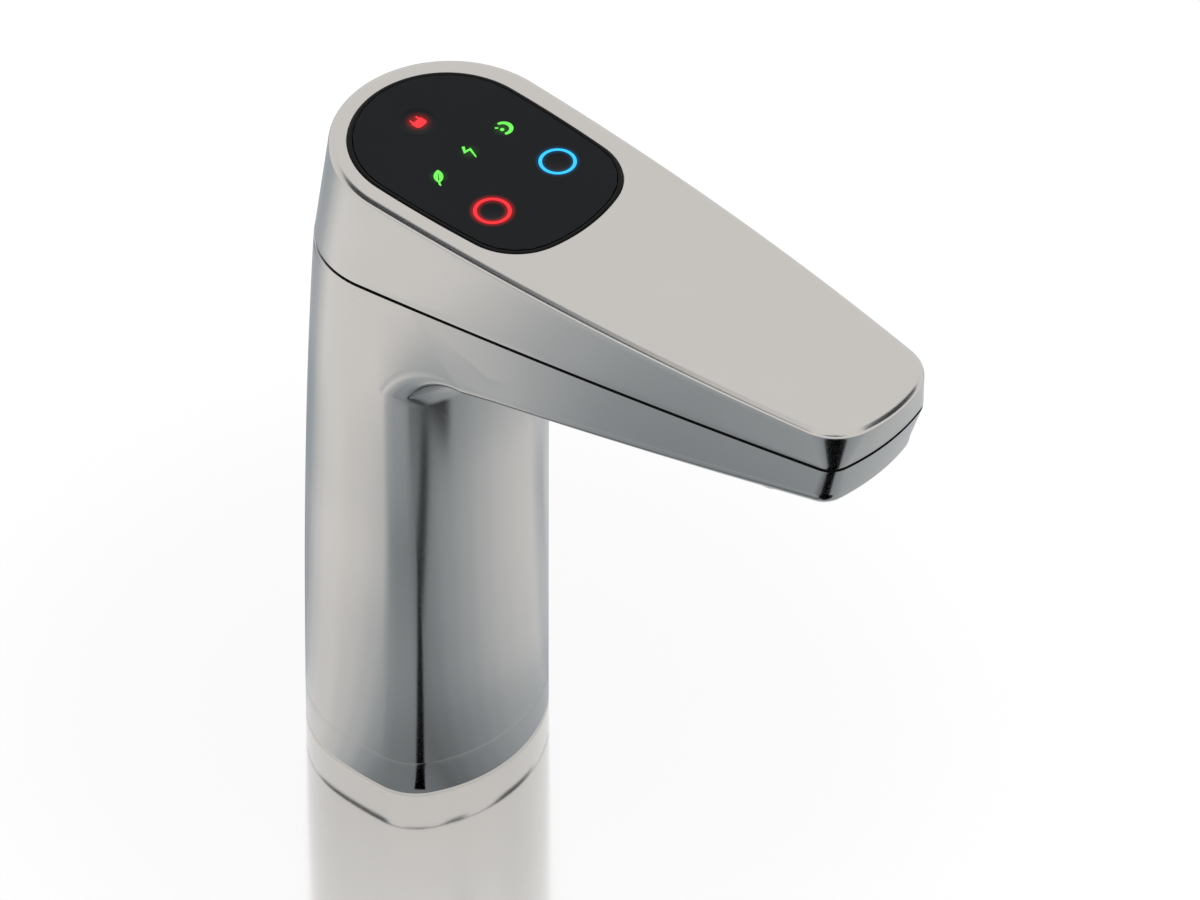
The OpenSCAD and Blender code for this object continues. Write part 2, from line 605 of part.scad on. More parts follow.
// the clip's plate rests on the bosses, and its block holds both tubes and the lead
clip_ear_r = clip_boss_r - boss_sink - clip_gap;
clip_block = [22, 19, 9];
clip_front = 7;
module tube_clip() {
    clip_x = [clip_boss_x, clip_block[0] / 2];
    clip_h = [clip_plate_t, clip_block[2]];
    color("#2b2d2f") difference() {
        union() {
            for (i = [0, 1]) translate([-clip_x[i], -clip_front, clip_z])
                cube([2 * clip_x[i], clip_block[1], clip_h[i]]);
            both() at(clip_boss_x, 0) rod(clip_ear_r, clip_z, clip_z + clip_plate_t);
        }
        at(-tube_x) rod(boiling_r + fit, clip_z - cut, clip_z + clip_block[2] + cut);
        at(tube_x) rod(chilled_r + fit, clip_z - cut, clip_z + clip_block[2] + cut);
        at(0, lead_f) rod(lead_r + fit, clip_z - cut, clip_z + clip_block[2] + cut);
        both() at(clip_boss_x, 0) rod(screw_r + screw_clear, clip_z - cut, clip_z + clip_plate_t + cut);
    }
}
clip_screw_l = 9;
module clip_screws() {
    color("#a8abad") both() at(clip_boss_x, 0)
        screw_down(big_screw, clip_z + clip_plate_t, clip_z - clip_screw_l);
}

mesh_r = 5.6;
mesh_sunk = 0.6;
stem_short = 1.2;
way_r = 3;
cross_way_r = 2.2;
module outlet_manifold() {
    color("#b98d4c") outlet_place() difference() {
        union() {
            translate([-manifold[0] / 2, manifold_back - manifold[1], wall]) cube(manifold);
            rod(stem_r, -nozzle_h + stem_short, wall + cut);
        }
        for (t = [[-tube_x, boiling_r], [tube_x, chilled_r]]) at(t[0], 0, tube_lift) rotate([-90, 0, 0]) {
            translate([0, 0, manifold_back - inlet_l]) cylinder(r = t[1] + fit, h = inlet_l + cut);
            cylinder(r = t[1] - tube_wall, h = manifold_back);
        }
        rod(way_r, wall, tube_lift);
        translate([-tube_x, 0, tube_lift]) rotate([0, 90, 0]) cylinder(r = cross_way_r, h = 2 * tube_x);
        rod(mesh_r + fit, -nozzle_h, wall + 2 * cut);
    }
}
hole_r = 0.75;
// the straightener's rings of holes, each with its radius, its count and the turn of its first hole
hole_rings = [[0, 1, 0], [2.2, 6, 0], [4.2, 12, 15]];
module flow_straightener() {
    color("#d9dbdc") outlet_place() difference() {
        rod(mesh_r, -nozzle_h + mesh_sunk, wall + 2 * cut - 2 * fit);
        for (h = hole_rings, i = [0:h[1] - 1]) rotate(360 * i / h[1] + h[2]) translate([h[0], 0, 0])
            rod(hole_r, -nozzle_h, wall + 3 * cut, $fn = 16);
    }
}
nozzle_seal_t = 0.7;
module nozzle_seal() {
    color("#17191a") outlet_place() tube(nozzle_r - nozzle_lip / 7, stem_r + fit, -nozzle_seal_t, 0);
}
nozzle_lip = 1.4;
mesh_hold = 0.5;
module outlet_nozzle() {
    color("#c4c2be") outlet_place() rotate_extrude() difference() {
        union() {
            square_between(stem_r + fit, nozzle_r, -nozzle_h + nozzle_lip, -nozzle_seal_t);
            square_between(mesh_r - mesh_hold, nozzle_r - nozzle_lip, -nozzle_h, -nozzle_seal_t);
            translate([nozzle_r - nozzle_lip, -nozzle_h + nozzle_lip]) circle(r = nozzle_lip);
        }
        square_between(0, stem_r + fit, -nozzle_h + stem_short, 0);
        square_between(0, mesh_r + fit, -nozzle_h + mesh_sunk, 0);
    }
}
module square_between(x0, x1, y0, y1) { translate([x0, y0]) square([x1 - x0, y1 - y0]); }

// ---- swivel base ----
stop_r = 1.6;
stop_body_r = 2.5;
stop_tip_l = 4;
stop_socket_r = 1.4;
stop_z = (recess_z + ring_h) / 2;
groove_r = post_r - 1.8;
groove_h = stop_r + 3 * fit;
stop_tip = groove_r + 0.3;
groove_half = swivel_half + asin(stop_r / groove_r) + 0.6;
bush_l = 7;
ring_seat_r = post_r - 1;
seat_gap = 0.2;
cord_r = (hub_bore_r - run - ring_seat_r) / 2;
flange_clear = 0.7;
base_head_z = recess_z + 3;
module base_ring() {
    color("#8d9190") difference() {
        union() {
            slab(foot, ring_gap, ring_h);
            rod(hub_r, ring_h - cut, hub_top);
        }
        rod(hub_bore_r, 0, big);
        rod(flange_r + flange_clear, 0, recess_z);
        for (f = base_boss_f) both() at(base_boss_x(f), f) {
            rod(screw_r + screw_clear, 0, ring_h + cut);
            rod(big_screw[1] + screw_clear, 0, base_head_z);
        }
        at(0, 0, stop_z) rotate([-90, 0, 0]) cylinder(r = stop_body_r + fit, h = big);
    }
}
module base_screws() {
    color("#a8abad") for (f = base_boss_f) both() at(base_boss_x(f), f)
        screw_up(big_screw, base_head_z, base_boss_top - 2 * boss_end);
}
module swivel_stop_screw() {
    stop_end = foot_r - foot[1] - 2;
    color("#5a5d60") at(0, 0, stop_z) rotate([-90, 0, 0]) difference() {
        union() {
            translate([0, 0, stop_tip]) cylinder(r = stop_r, h = stop_tip_l);
            translate([0, 0, post_r + 1]) cylinder(r = stop_body_r, h = stop_end - post_r - 1);
        }
        translate([0, 0, stop_end - stop_tip_l]) cylinder(r = stop_socket_r, h = stop_tip_l + cut, $fn = 6);
    }
}
bush_gap = 0.6;
module bush(z0) { tube(hub_bore_r - fit / 2, post_r + run, z0, z0 + bush_l); }
module lower_bush() { color("#e9e6da") bush(ring_h + bush_gap); }
module upper_bush() { color("#e9e6da") bush(hub_top - bush_l - bush_gap); }
friction_z = (ring_h + hub_top) / 2;
module friction_ring() {
    color("#141618") rotate_extrude() translate([ring_seat_r + cord_r, friction_z]) circle(r = cord_r);
}
module spigot() {
    color("#b08a4e") difference() {
        union() {
            rod(post_r, -shank_l, post_h);
            rod(flange_r, seat_t, flange_h);
        }
        rod(spigot_bore_r, -shank_l - cut, post_h + cut);
        // seat of the friction ring
        tube(post_r + cut, ring_seat_r, friction_z - cord_r - seat_gap, friction_z + cord_r + seat_gap);
        // groove that stops the swivel
        translate([0, 0, stop_z - groove_h]) rotate(90 - groove_half)
            rotate_extrude(angle = 2 * groove_half) translate([groove_r, 0]) square([post_r, 2 * groove_h]);
    }
}
shank_clear = 0.3;
module worktop_seal() { color("#17191a") tube(flange_r - 2 * shank_clear, post_r + shank_clear, 0, seat_t); }
module thrust_washer() {
    color("#e9e6da") tube(flange_r - cut, post_r + screw_clear, flange_h, flange_h + thrust_t);
}
rubber_t = 3;
washer_t = 2;
nut_t = 10;
washer_r = 27;
rubber_z = -worktop_t - rubber_t;
washer_z = rubber_z - washer_t;
module clamp_rubber() { color("#17191a") tube(washer_r, post_r + shank_clear, rubber_z, -worktop_t); }
module clamp_washer() { color("#b7babc") tube(washer_r, post_r + shank_clear, washer_z, rubber_z); }
module backnut() {
    color("#b08a4e") difference() {
        translate([0, 0, washer_z - nut_t]) cylinder(r = washer_r, h = nut_t, $fn = 6);
        rod(post_r + fit, -shank_l, 0);
    }
}

spigot();
worktop_seal();
clamp_rubber();
clamp_washer();
backnut();
thrust_washer();
friction_ring();
base_ring();
lower_bush();
upper_bush();
swivel_stop_screw();
base_screws();
body_shell();
seam_gasket();
top_cover();
cover_screws();
panel_seal();
touch_panel();
boiling_ring_lens();
chilled_ring_lens();
light_frame();
frame_screws();
touch_board();
board_screws();
indicator_leds();
board_connector();
signal_lead();
lead_socket();
boiling_tube();
chilled_tube();
tube_clip();
clip_screws();
outlet_manifold();
flow_straightener();
nozzle_seal();
outlet_nozzle();
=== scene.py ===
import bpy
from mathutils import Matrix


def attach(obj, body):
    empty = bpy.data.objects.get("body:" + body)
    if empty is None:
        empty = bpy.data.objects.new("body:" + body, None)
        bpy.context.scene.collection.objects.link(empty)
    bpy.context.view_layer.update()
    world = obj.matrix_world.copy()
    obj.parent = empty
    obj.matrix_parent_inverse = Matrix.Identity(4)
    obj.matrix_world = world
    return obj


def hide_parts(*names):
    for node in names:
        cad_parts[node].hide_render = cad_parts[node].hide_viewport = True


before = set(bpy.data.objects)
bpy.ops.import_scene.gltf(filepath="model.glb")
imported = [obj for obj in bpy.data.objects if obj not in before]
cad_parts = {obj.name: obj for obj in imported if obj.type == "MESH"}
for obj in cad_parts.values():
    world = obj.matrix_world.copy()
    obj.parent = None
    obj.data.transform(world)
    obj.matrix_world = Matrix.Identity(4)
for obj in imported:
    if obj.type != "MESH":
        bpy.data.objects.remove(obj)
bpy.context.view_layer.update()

import math

import bpy
from mathutils import Matrix, Vector

mm = 0.001

# ---- Spigot ----
# The part that stays still: a turned brass post with a flange and a threaded shank below it.
# The head turns on the post, whose two grooves hold the friction ring and end the swivel. The
# shank carries an M32 thread with a pitch of 1.5 mm.
post_r, bore_r = 16.0, 12.0
post_top, shank_end = 42.0, -62.0
post_chamfer, bore_chamfer = 0.6, 0.4
neck_r = post_r - 0.02
flange_r = 24.5
flange_from, flange_to = 1.2, 4.0
flange_chamfer = 0.3
thread_pitch, thread_depth = 1.5, 0.9
thread_top, thread_run_out = -2.0, 0.4
rings_per_turn = 6
# A groove runs from one height to another and is cut down to a radius.
seal_groove = (24.4, 27.2, 15.0)
stop_groove = (6.6, 10.1, 14.2)
stop_half_turn = math.radians(67.1)
stop_middle, above_stop, groove_step = 8.0, 12.0, 0.02


def placed(name, data):
    """A new object that stands in the scene."""
    thing = bpy.data.objects.new(name, data)
    bpy.context.scene.collection.objects.link(thing)
    return thing


def mesh_piece(name, points, faces, body, stands_for, slot, material, crease=30):
    """A piece from points in millimetres, smooth where its faces meet at less than crease degrees."""
    mesh = bpy.data.meshes.new(name)
    mesh.from_pydata([(x * mm, y * mm, z * mm) for x, y, z in points], [], faces)
    mesh.validate()
    mesh.polygons.foreach_set("use_smooth", [True] * len(mesh.polygons))
    mesh.set_sharp_from_angle(angle=math.radians(crease))
    mesh.materials.append(material)
    piece = placed(name, mesh)
    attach(piece, body)
    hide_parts(stands_for)


def ring_piece(name, rings, body, stands_for, slot, material, crease=30):
    """A piece whose skin runs through rings of as many points each, the last joined to the first."""
    count = len(rings[0])
    faces = []
    for i in range(len(rings)):
        a, b = i * count, (i + 1) % len(rings) * count
        for j in range(count):
            k = (j + 1) % count
            faces.append((a + j, a + k, b + k, b + j))
    points = [p for ring in rings for p in ring]
    mesh_piece(name, points, faces, body, stands_for, slot, material, crease)


def turned_rings(profile, count=96, radius=lambda r, z, a: r):
    """Rings round the vertical axis along a profile of (radius, height)."""
    angles = [2 * math.pi * j / count for j in range(count)]
    return [[(radius(r, z, a) * math.cos(a), radius(r, z, a) * math.sin(a), z) for a in angles]
            for r, z in profile]


noise_low, noise_high = 0.3, 0.7
cloud_scale = 40


def ramp(tree, value, low, high, start, end, kind="LINEAR"):
    """A value that runs from start to end while another runs from low to high."""
    node = tree.nodes.new("ShaderNodeMapRange")
    node.interpolation_type = kind
    for name, number in (("From Min", low), ("From Max", high), ("To Min", start), ("To Max", end)):
        node.inputs[name].default_value = number
    tree.links.new(value, node.inputs["Value"])
    return node.outputs["Result"]


def grained(name, colour, metallic, roughness, grain, bump, tint=0.03, rough_by=0.05, specular=0.5):
    """A finish whose colour, roughness and relief all vary a little, at the scale of its grain."""
    material = bpy.data.materials.new(name)
    material.use_nodes = True
    tree = material.node_tree
    new, link = tree.nodes.new, tree.links.new
    shader = tree.nodes["Principled BSDF"]
    shader.inputs["Metallic"].default_value = metallic
    shader.inputs["Specular IOR Level"].default_value = specular
    place = new("ShaderNodeTexCoord")
    fine, cloud = new("ShaderNodeTexNoise"), new("ShaderNodeTexNoise")
    for noise, scale, detail in ((fine, 1 / (grain * mm), 3), (cloud, cloud_scale, 4)):
        noise.inputs["Scale"].default_value = scale
        noise.inputs["Detail"].default_value = detail
        link(place.outputs["Object"], noise.inputs["Vector"])
    shade = new("ShaderNodeValToRGB")
    darker, lighter = shade.color_ramp.elements
    darker.position, lighter.position = noise_low, noise_high
    darker.color = [c * (1 - tint) for c in colour] + [1]
    lighter.color = [min(c * (1 + tint), 1) for c in colour] + [1]
    link(cloud.outputs["Fac"], shade.inputs["Fac"])
    link(shade.outputs["Color"], shader.inputs["Base Color"])
    rough = ramp(tree, fine.outputs["Fac"], noise_low, noise_high, roughness - rough_by,
                 roughness + rough_by)
    link(rough, shader.inputs["Roughness"])
    relief = new("ShaderNodeBump")
    relief.inputs["Strength"].default_value = 1
    relief.inputs["Distance"].default_value = bump * mm
    link(fine.outputs["Fac"], relief.inputs["Height"])
    link(relief.outputs["Normal"], shader.inputs["Normal"])
    return material


def finish_node(material, *names):
    """Gives CAD pieces that are shown as they are their finish."""
    for name in names:
        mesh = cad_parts[name].data
        mesh.materials.clear()
        mesh.materials.append(material)


brass = grained("turned_brass", (0.60, 0.42, 0.20), 1, 0.28, 0.25, 0.004)


def post_radius(r, z, a):
    """The outside of the spigot at the height z and the angle a."""
    if z <= thread_top and r == post_r:
        phase = (z / thread_pitch + a / (2 * math.pi)) % 1
        return r - thread_depth * abs(2 * phase - 1)
    off_front = abs((a - math.pi / 2) % (2 * math.pi) - math.pi)
    if stop_groove[0] < z < stop_groove[1] and r == post_r and off_front < stop_half_turn:
        return stop_groove[2]
    return r


thread_steps = int((thread_top - shank_end) / (thread_pitch / rings_per_turn))
spigot_profile = [(post_r, shank_end + (thread_top - shank_end) * i / thread_steps)
                  for i in range(thread_steps + 1)]
spigot_profile += [(neck_r, thread_top + thread_run_out), (neck_r, flange_from),
                   (flange_r - flange_chamfer, flange_from), (flange_r, flange_from + flange_chamfer),
                   (flange_r, flange_to - flange_chamfer), (flange_r - flange_chamfer, flange_to),
                   (post_r - groove_step / 2, flange_to)]
stop_from, stop_to, _ = stop_groove
spigot_profile += [(post_r, z) for z in (stop_from - groove_step, stop_from + groove_step, stop_middle,
                                         stop_to - groove_step, stop_to + groove_step, above_stop)]
spigot_profile += [(post_r, seal_groove[0]), (seal_groove[2], seal_groove[0]),
                   (seal_groove[2], seal_groove[1]), (post_r, seal_groove[1]),
                   (post_r, post_top - post_chamfer), (post_r - post_chamfer, post_top)]
spigot_profile += [(bore_r + bore_chamfer, post_top), (bore_r, post_top - bore_chamfer),
                   (bore_r, shank_end + bore_chamfer), (bore_r + bore_chamfer, shank_end)]
ring_piece("spigot_turned", turned_rings(spigot_profile, 144, post_radius),
           "worktop_fixing", "spigot", "brass", brass, 40)

# ---- Worktop seal, thrust washer and friction ring ----
# A rubber seal lies between the flange and the worktop. The head's base ring turns on an acetal
# washer on the flange, and a rubber ring in the post's groove gives the swivel its drag.
rubber = grained("moulded_rubber", (0.022, 0.022, 0.023), 0, 0.62, 0.3, 0.012, 0.12, 0.08)
acetal = grained("ivory_acetal", (0.74, 0.71, 0.62), 0, 0.42, 0.4, 0.006)
finish_node(rubber, "worktop_seal", "friction_ring")
finish_node(acetal, "thrust_washer", "lower_bush", "upper_bush")

# ---- Clamp below the worktop ----
# A rubber and a zinc plated steel washer are pressed up against the worktop by a brass backnut
# with six flats, whose corners are turned off at 30 degrees.
zinc = grained("zinc_plate", (0.56, 0.57, 0.58), 1, 0.36, 0.5, 0.01, 0.08, 0.1)
finish_node(rubber, "clamp_rubber")
finish_node(zinc, "clamp_washer")


def sin(a):
    return math.sin(math.radians(a))


def cos(a):
    return math.cos(math.radians(a))


def tan(a):
    return math.tan(math.radians(a))


def mix(a, b, k):
    return a + (b - a) * k


nut_r = 27.0
nut_from, nut_to = -45.0, -35.0
nut_face_in = 0.2
nut_thread_r, nut_countersink_r = post_r + 0.05, post_r + 0.9
nut_countersink = 0.9
corner_steps = 8
nut_flat = nut_r * cos(30)
corner_drop = (nut_r - nut_flat) * tan(30)


def hex_radius(r, z, a):
    """A hexagon's radius at the angle a, cut back to r where the corners are turned off."""
    corner = (a + math.pi / 6) % (math.pi / 3) - math.pi / 6
    return min(r, nut_flat / math.cos(abs(corner) - math.pi / 6))


turned_off = [(mix(nut_flat, nut_r, i / corner_steps), corner_drop * i / corner_steps)
              for i in range(corner_steps + 1)]
nut_profile = [(nut_flat - nut_face_in, nut_from)]
nut_profile += [(r, nut_from + drop) for r, drop in turned_off]
nut_profile += [(r, nut_to - drop) for r, drop in reversed(turned_off)]
nut_profile += [(nut_flat - nut_face_in, nut_to), (nut_countersink_r, nut_to),
                (nut_thread_r, nut_to - nut_countersink), (nut_thread_r, nut_from + nut_countersink),
                (nut_countersink_r, nut_from)]
ring_piece("backnut_turned", turned_rings(nut_profile, 144, hex_radius),
           "worktop_fixing", "backnut", "brass", brass, 25)

# ---- Base ring ----
# The foot of the turning head, cast and plated in satin nickel like the shells above it. Its
# outline is four arcs on each side, and a hub inside it holds the two bushes that run on the post.
ring_from, ring_to = 0.5, 11.6
# An outline is the back arc's radius and centre, the direction in which the side begins, the side's
# radius, how far forward the front lies, and the radii of the corner and of the front.
foot = (29.0, -0.7, -3.1, 98.0, 29.7, 14.4, 40.2)
foot_chamfer, hub_chamfer = 0.3, 0.4
ring_round, ring_round_in = 0.25, 0.07
hub_bore_r, hub_r, hub_top = 17.4, 20.0, 40.0
recess_r, recess_top = 25.2, 5.1
arc_steps = (14, 18, 20, 44)
half_strip = 0.4
satin_nickel = grained("satin_nickel", (0.565, 0.545, 0.52), 1, 0.16, 0.3, 0.0011, 0.012, 0.03)


def around(centre, radius, degrees):
    return (centre[0] + radius * cos(degrees), centre[1] + radius * sin(degrees))


def inset(outline, by):
    r, c, turn, side, front, corner, nose = outline
    return (r - by, c, turn, side - by, front - by, corner - by, nose - by)


def side_centre(o):
    return around((0, o[1]), o[0] - o[3], o[2])


def front_centre(o):
    return (0, o[4] - o[6])


def corner_centre(o):
    """The corner arc touches the side arc and the front arc from inside."""
    p, q = Vector(side_centre(o)), Vector(front_centre(o))
    r, s, d = o[3] - o[5], o[6] - o[5], (q - p).length
    along = (r * r - s * s + d * d) / (2 * d)
    u = (q - p) / d
    return tuple(p + along * u + math.sqrt(r * r - along * along) * Vector((-u.y, u.x)))


def direction(a, b):
    return math.degrees(math.atan2(b[1] - a[1], b[0] - a[0]))


def corner_turns(o):
    """Directions in which the corner arc begins at the side and ends at the front."""
    c = corner_centre(o)
    return direction(side_centre(o), c), direction(front_centre(o), c)


def half_outline(o, steps=arc_steps):
    """Half an outline as points (x, forward), from the front's middle to the back's middle."""
    begin, end = corner_turns(o)
    strip = math.degrees(math.asin(half_strip / o[0]))
    arcs = [(front_centre(o), o[6], 90, end), (corner_centre(o), o[5], end, begin),
            (side_centre(o), o[3], begin, o[2]), ((0, o[1]), o[0], o[2], strip - 90)]
    line = [(0.0, o[4])]
    for (centre, r, a, b), n in zip(arcs, steps):
        line += [around(centre, r, mix(a, b, i / n)) for i in range(1, n + 1)]
    return line


def whole(half):
    """A ring of points (x, y, z) from half a ring of (x, forward, z): the back's +X side comes first."""
    right = [(p[0], -p[1], p[2]) for p in reversed(half)]
    return right + [(-p[0], -p[1], p[2]) for p in half[1:]]


def level_ring(o, z, steps=arc_steps):
    """An outline as a level ring, or at the height that z gives for each distance forward."""
    height = z if callable(z) else lambda f: z
    return whole([(x, f, height(f)) for x, f in half_outline(o, steps)])


def circle_like(ring, r, z):
    """A circle round the swivel axis with a point in the direction of each point of a ring."""
    return [(r * x / math.hypot(x, y), r * y / math.hypot(x, y), z) for x, y, _ in ring]


outer = level_ring(foot, 0)
base_rings = [level_ring(inset(foot, foot_chamfer), ring_from),
              level_ring(foot, ring_from + foot_chamfer)]
base_rings += [level_ring(foot, z) for z in (3, 6, 9)]
base_rings += [level_ring(foot, ring_to - ring_round),
               level_ring(inset(foot, ring_round_in), ring_to - ring_round_in),
               level_ring(inset(foot, ring_round), ring_to)]
base_rings += [circle_like(outer, r, z) for r, z in
               ((hub_r, ring_to), (hub_r, hub_top - hub_chamfer), (hub_r - hub_chamfer, hub_top),
                (hub_bore_r, hub_top), (hub_bore_r, recess_top), (recess_r, recess_top),
                (recess_r, ring_from))]
ring_piece("base_ring_cast", base_rings, "tap_head", "base_ring", "satin_nickel", satin_nickel)

# ---- Screws of the swivel base ----
# Machined steel: four screws pull the base ring up against the shell, and a grub screw from
# behind reaches into the post's groove, where its tip stops the swivel.
steel = grained("machined_steel", (0.52, 0.53, 0.54), 1, 0.3, 0.4, 0.004, 0.05)
finish_node(steel, "base_screws", "swivel_stop_screw", "cover_screws", "frame_screws", "board_screws",
            "clip_screws")

# ---- Body shell ----
# One hollow casting: the column leans forward as it rises, turns through a tight throat and runs
# out as the tapering arm. Its upper edge is the seam, which rises towards the nose.
seam = (29.6, 5.3, 2.7, 2100.0, 154.9, 6.0, 53.0)
seam_height, seam_rise = 170.0, 0.133
under_height, under_rise = 139.0, 0.242
throat_r, edge_r, draft = 10.0, 5.0, 7.0
least_r, least_share = 1, 0.02
nose_back, low_corner_r, neck_corner_r = 3.2, 7.0, 9.0
lean_power = 2.35
blend_from, blend_to = 12.0, 46.0
wall = 2.5
shell_from = ring_to + 0.02
seam_gap = 0.9
seam_stops = (0.0, 0.35, 0.7, 1.0, 18.0)
back_share = 3 / 7
column_steps, throat_steps, arm_steps = 42, 56, 14
under_angle = math.degrees(math.atan(under_rise))
throat_f = foot[4] + throat_r


def seam_at(f):
    return seam_height + seam_rise * f


def under_at(f):
    return under_height + under_rise * f


throat_z = under_at(throat_f - throat_r * sin(under_angle)) - throat_r * cos(under_angle)


def smooth(k):
    k = min(max(k, 0), 1)
    return k * k * (3 - 2 * k)


def rise(at, start, end):
    """0 up to the start and 1 from the end on, with a smooth step between them."""
    return smooth((at - start) / (end - start))


def between(a, b, k):
    """An outline between two others. The side's curvature is shared out, not its radius."""
    o = [mix(p, q, k) for p, q in zip(a, b)]
    o[3] = 1 / mix(1 / a[3], 1 / b[3], k)
    return tuple(o)


def half_width(o, f):
    if f < o[1] + o[0] * sin(o[2]):
        return math.sqrt(max(o[0] ** 2 - (f - o[1]) ** 2, half_strip ** 2))
    c = side_centre(o)
    return c[0] + math.sqrt(o[3] ** 2 - (f - c[1]) ** 2)


def slope_in(f, z):
    return max(seam_at(f) - z, 0) * tan(draft)


def wall_outline(z, e):
    lean = min((max(z, 0) / seam_at(seam[1])) ** lean_power, 1)
    return inset(between(foot, seam, lean), e)


def wall_x(f, z, e):
    """Half width of the shell: the column's outline behind, the sloping arm in front."""
    arm = half_width(inset(seam, e), f) - slope_in(f, z)
    return mix(half_width(wall_outline(z, e), f), arm, rise(f, blend_from, blend_to))


def wall_point(place, z, e):
    """A place on the wall: 0 to 1 round the back's arc, and from there on millimetres forward."""
    o = wall_outline(z, e)
    turn = mix(math.degrees(math.asin(half_strip / o[0])) - 90, o[2], min(place, 1))
    f = o[1] + o[0] * sin(turn) + max(place - 1, 0)
    return (o[0] * cos(turn) if place <= 1 else wall_x(f, z, e), f, z)


def column_half(z, e):
    """Half a level section of the column, whose front corners sharpen towards the throat."""
    w = wall_outline(z, 0)
    corner = mix(foot[5], neck_corner_r, smooth(z / throat_z))
    return [(x, f, z) for x, f in half_outline(inset((*w[:4], foot[4], corner, foot[6]), e))]


def throat_half(lean, far, e):
    """Half a section through the throat, in the plane that leans by the given angle."""
    n_front, n_corner, n_side, n_back = arc_steps
    away = (-cos(lean), sin(lean))
    k = lean / (90 - under_angle)
    rc = max(mix(neck_corner_r, edge_r, k) - e, least_r)
    rf = foot[6] / max(1 - k, least_share) - e
    o = (throat_f + (throat_r + e) * away[0], throat_z + (throat_r + e) * away[1])

    def bulge(x):
        return rf - (rf - rc) * math.cos(math.asin(x / (rf - rc)))

    def corner_x(s):
        return wall_x(o[0] + s * away[0], o[1] + s * away[1], e) - rc

    x = corner_x(bulge(corner_x(rc)))
    turn = math.degrees(math.asin(x / (rf - rc)))
    s = bulge(x)
    line = []
    for i in range(n_front + 1):
        a = turn * i / n_front
        line.append((rf * sin(a), rf - rf * cos(a)))
    for i in range(1, n_corner + 1):
        a = mix(turn, 90, i / n_corner)
        line.append((x + rc * sin(a), s - rc * cos(a)))
    line = [(w, o[0] + d * away[0], o[1] + d * away[1]) for w, d in line]
    edge = (o[0] + s * away[0], o[1] + s * away[1])
    w = wall_outline(edge[1], e)
    place = 1 + edge[0] - (w[1] + w[0] * sin(w[2]))
    shares = [(place - mix(place, 1, i / n_side)) / place for i in range(1, n_side + 1)]
    shares += [(place - mix(1, 0, i / n_back)) / place for i in range(1, n_back + 1)]
    return line + [wall_point(mix(place, far[0], g), mix(edge[1], far[1], g), e) for g in shares]


def far_end(k, e, lift):
    """Where a throat section ends: up the back's middle line, then along the seam."""
    if k <= back_share:
        return 0, mix(throat_z, seam_at(seam[1] - seam[0]) + lift, k / back_share)
    along = (k - back_share) / (1 - back_share) * (len(seam_stops) - 1)
    i = min(int(along), len(seam_stops) - 2)
    place = mix(seam_stops[i], seam_stops[i + 1], along - i)
    return place, seam_at(wall_point(place, seam_height, e)[1]) + lift


def low_slope(f):
    return slope_in(f, under_at(f) + edge_r)


low_nose = seam[4] - nose_back
low_in = low_slope(low_nose - low_corner_r)
low = (seam[0] - low_in, seam[1], seam[2], seam[3] - low_in, low_nose, low_corner_r, seam[6] - nose_back)


def spread(o, e):
    """Centres, radii and directions along an outline, from behind the throat to the nose."""
    begin, end = corner_turns(o)
    centres = (side_centre(o), corner_centre(o), front_centre(o))
    radii = (o[3] - e, o[5] - e, o[6] - e)
    turns = (math.degrees(math.asin((blend_to - centres[0][1]) / o[3])), begin, end,
             90 - math.degrees(math.asin(half_strip / o[6])))
    places = [(centres[0], radii[0], turns[0])]
    for j in range(3):
        places += [(centres[j], radii[j], mix(turns[j], turns[j + 1], i / arm_steps))
                   for i in range(1, arm_steps + 1)]
    return places


def arm_half(p, q, n, e, lift):
    """Half a section of the arm: along the underside, round its edge at q and up the wall to p."""
    n_front, n_corner, n_side, n_back = arc_steps
    rc = max(edge_r - e, least_r)
    o = (q[0] - n[0] * rc, q[1] - n[1] * rc)
    z = under_at(o[1]) + (e + rc) / cos(under_angle)
    out, down = Vector((n[0], n[1], 0)), Vector((0, sin(under_angle), -cos(under_angle)))
    middle = Vector((o[0], o[1], z))
    sole = middle + rc * down
    line = [(sole.x * i / n_front, sole.y, sole.z) for i in range(n_front)]
    line += [tuple(middle + rc * down.slerp(out, i / n_corner)) for i in range(n_corner + 1)]
    climb = seam_at(p[1]) - z
    for i in range(1, n_side + n_back + 1):
        dz = (climb + lift) * i / (n_side + n_back)
        line.append((mix(q[0], p[0], dz / climb), mix(q[1], p[1], dz / climb), z + dz))
    return line


def shell_rings(z_from, e, lift):
    rings = [column_half(mix(z_from, throat_z, i / column_steps), e) for i in range(column_steps + 1)]
    for i in range(1, throat_steps + 1):
        k = i / throat_steps
        rings.append(throat_half((90 - under_angle) * k, far_end(k, e, lift), e))
    for i, (hi, lo) in enumerate(zip(spread(seam, e), spread(low, e))):
        n = (cos(lo[2]), sin(lo[2]))
        q = around(lo[0], lo[1], lo[2])
        if i <= arm_steps:
            slack = low_slope(q[1]) - (seam[3] - low[3])
            q = (q[0] - slack * n[0], q[1] - slack * n[1])
        rings.append(arm_half(around(hi[0], hi[1], hi[2]), q, n, e, lift))
    return [whole(r) for r in rings]


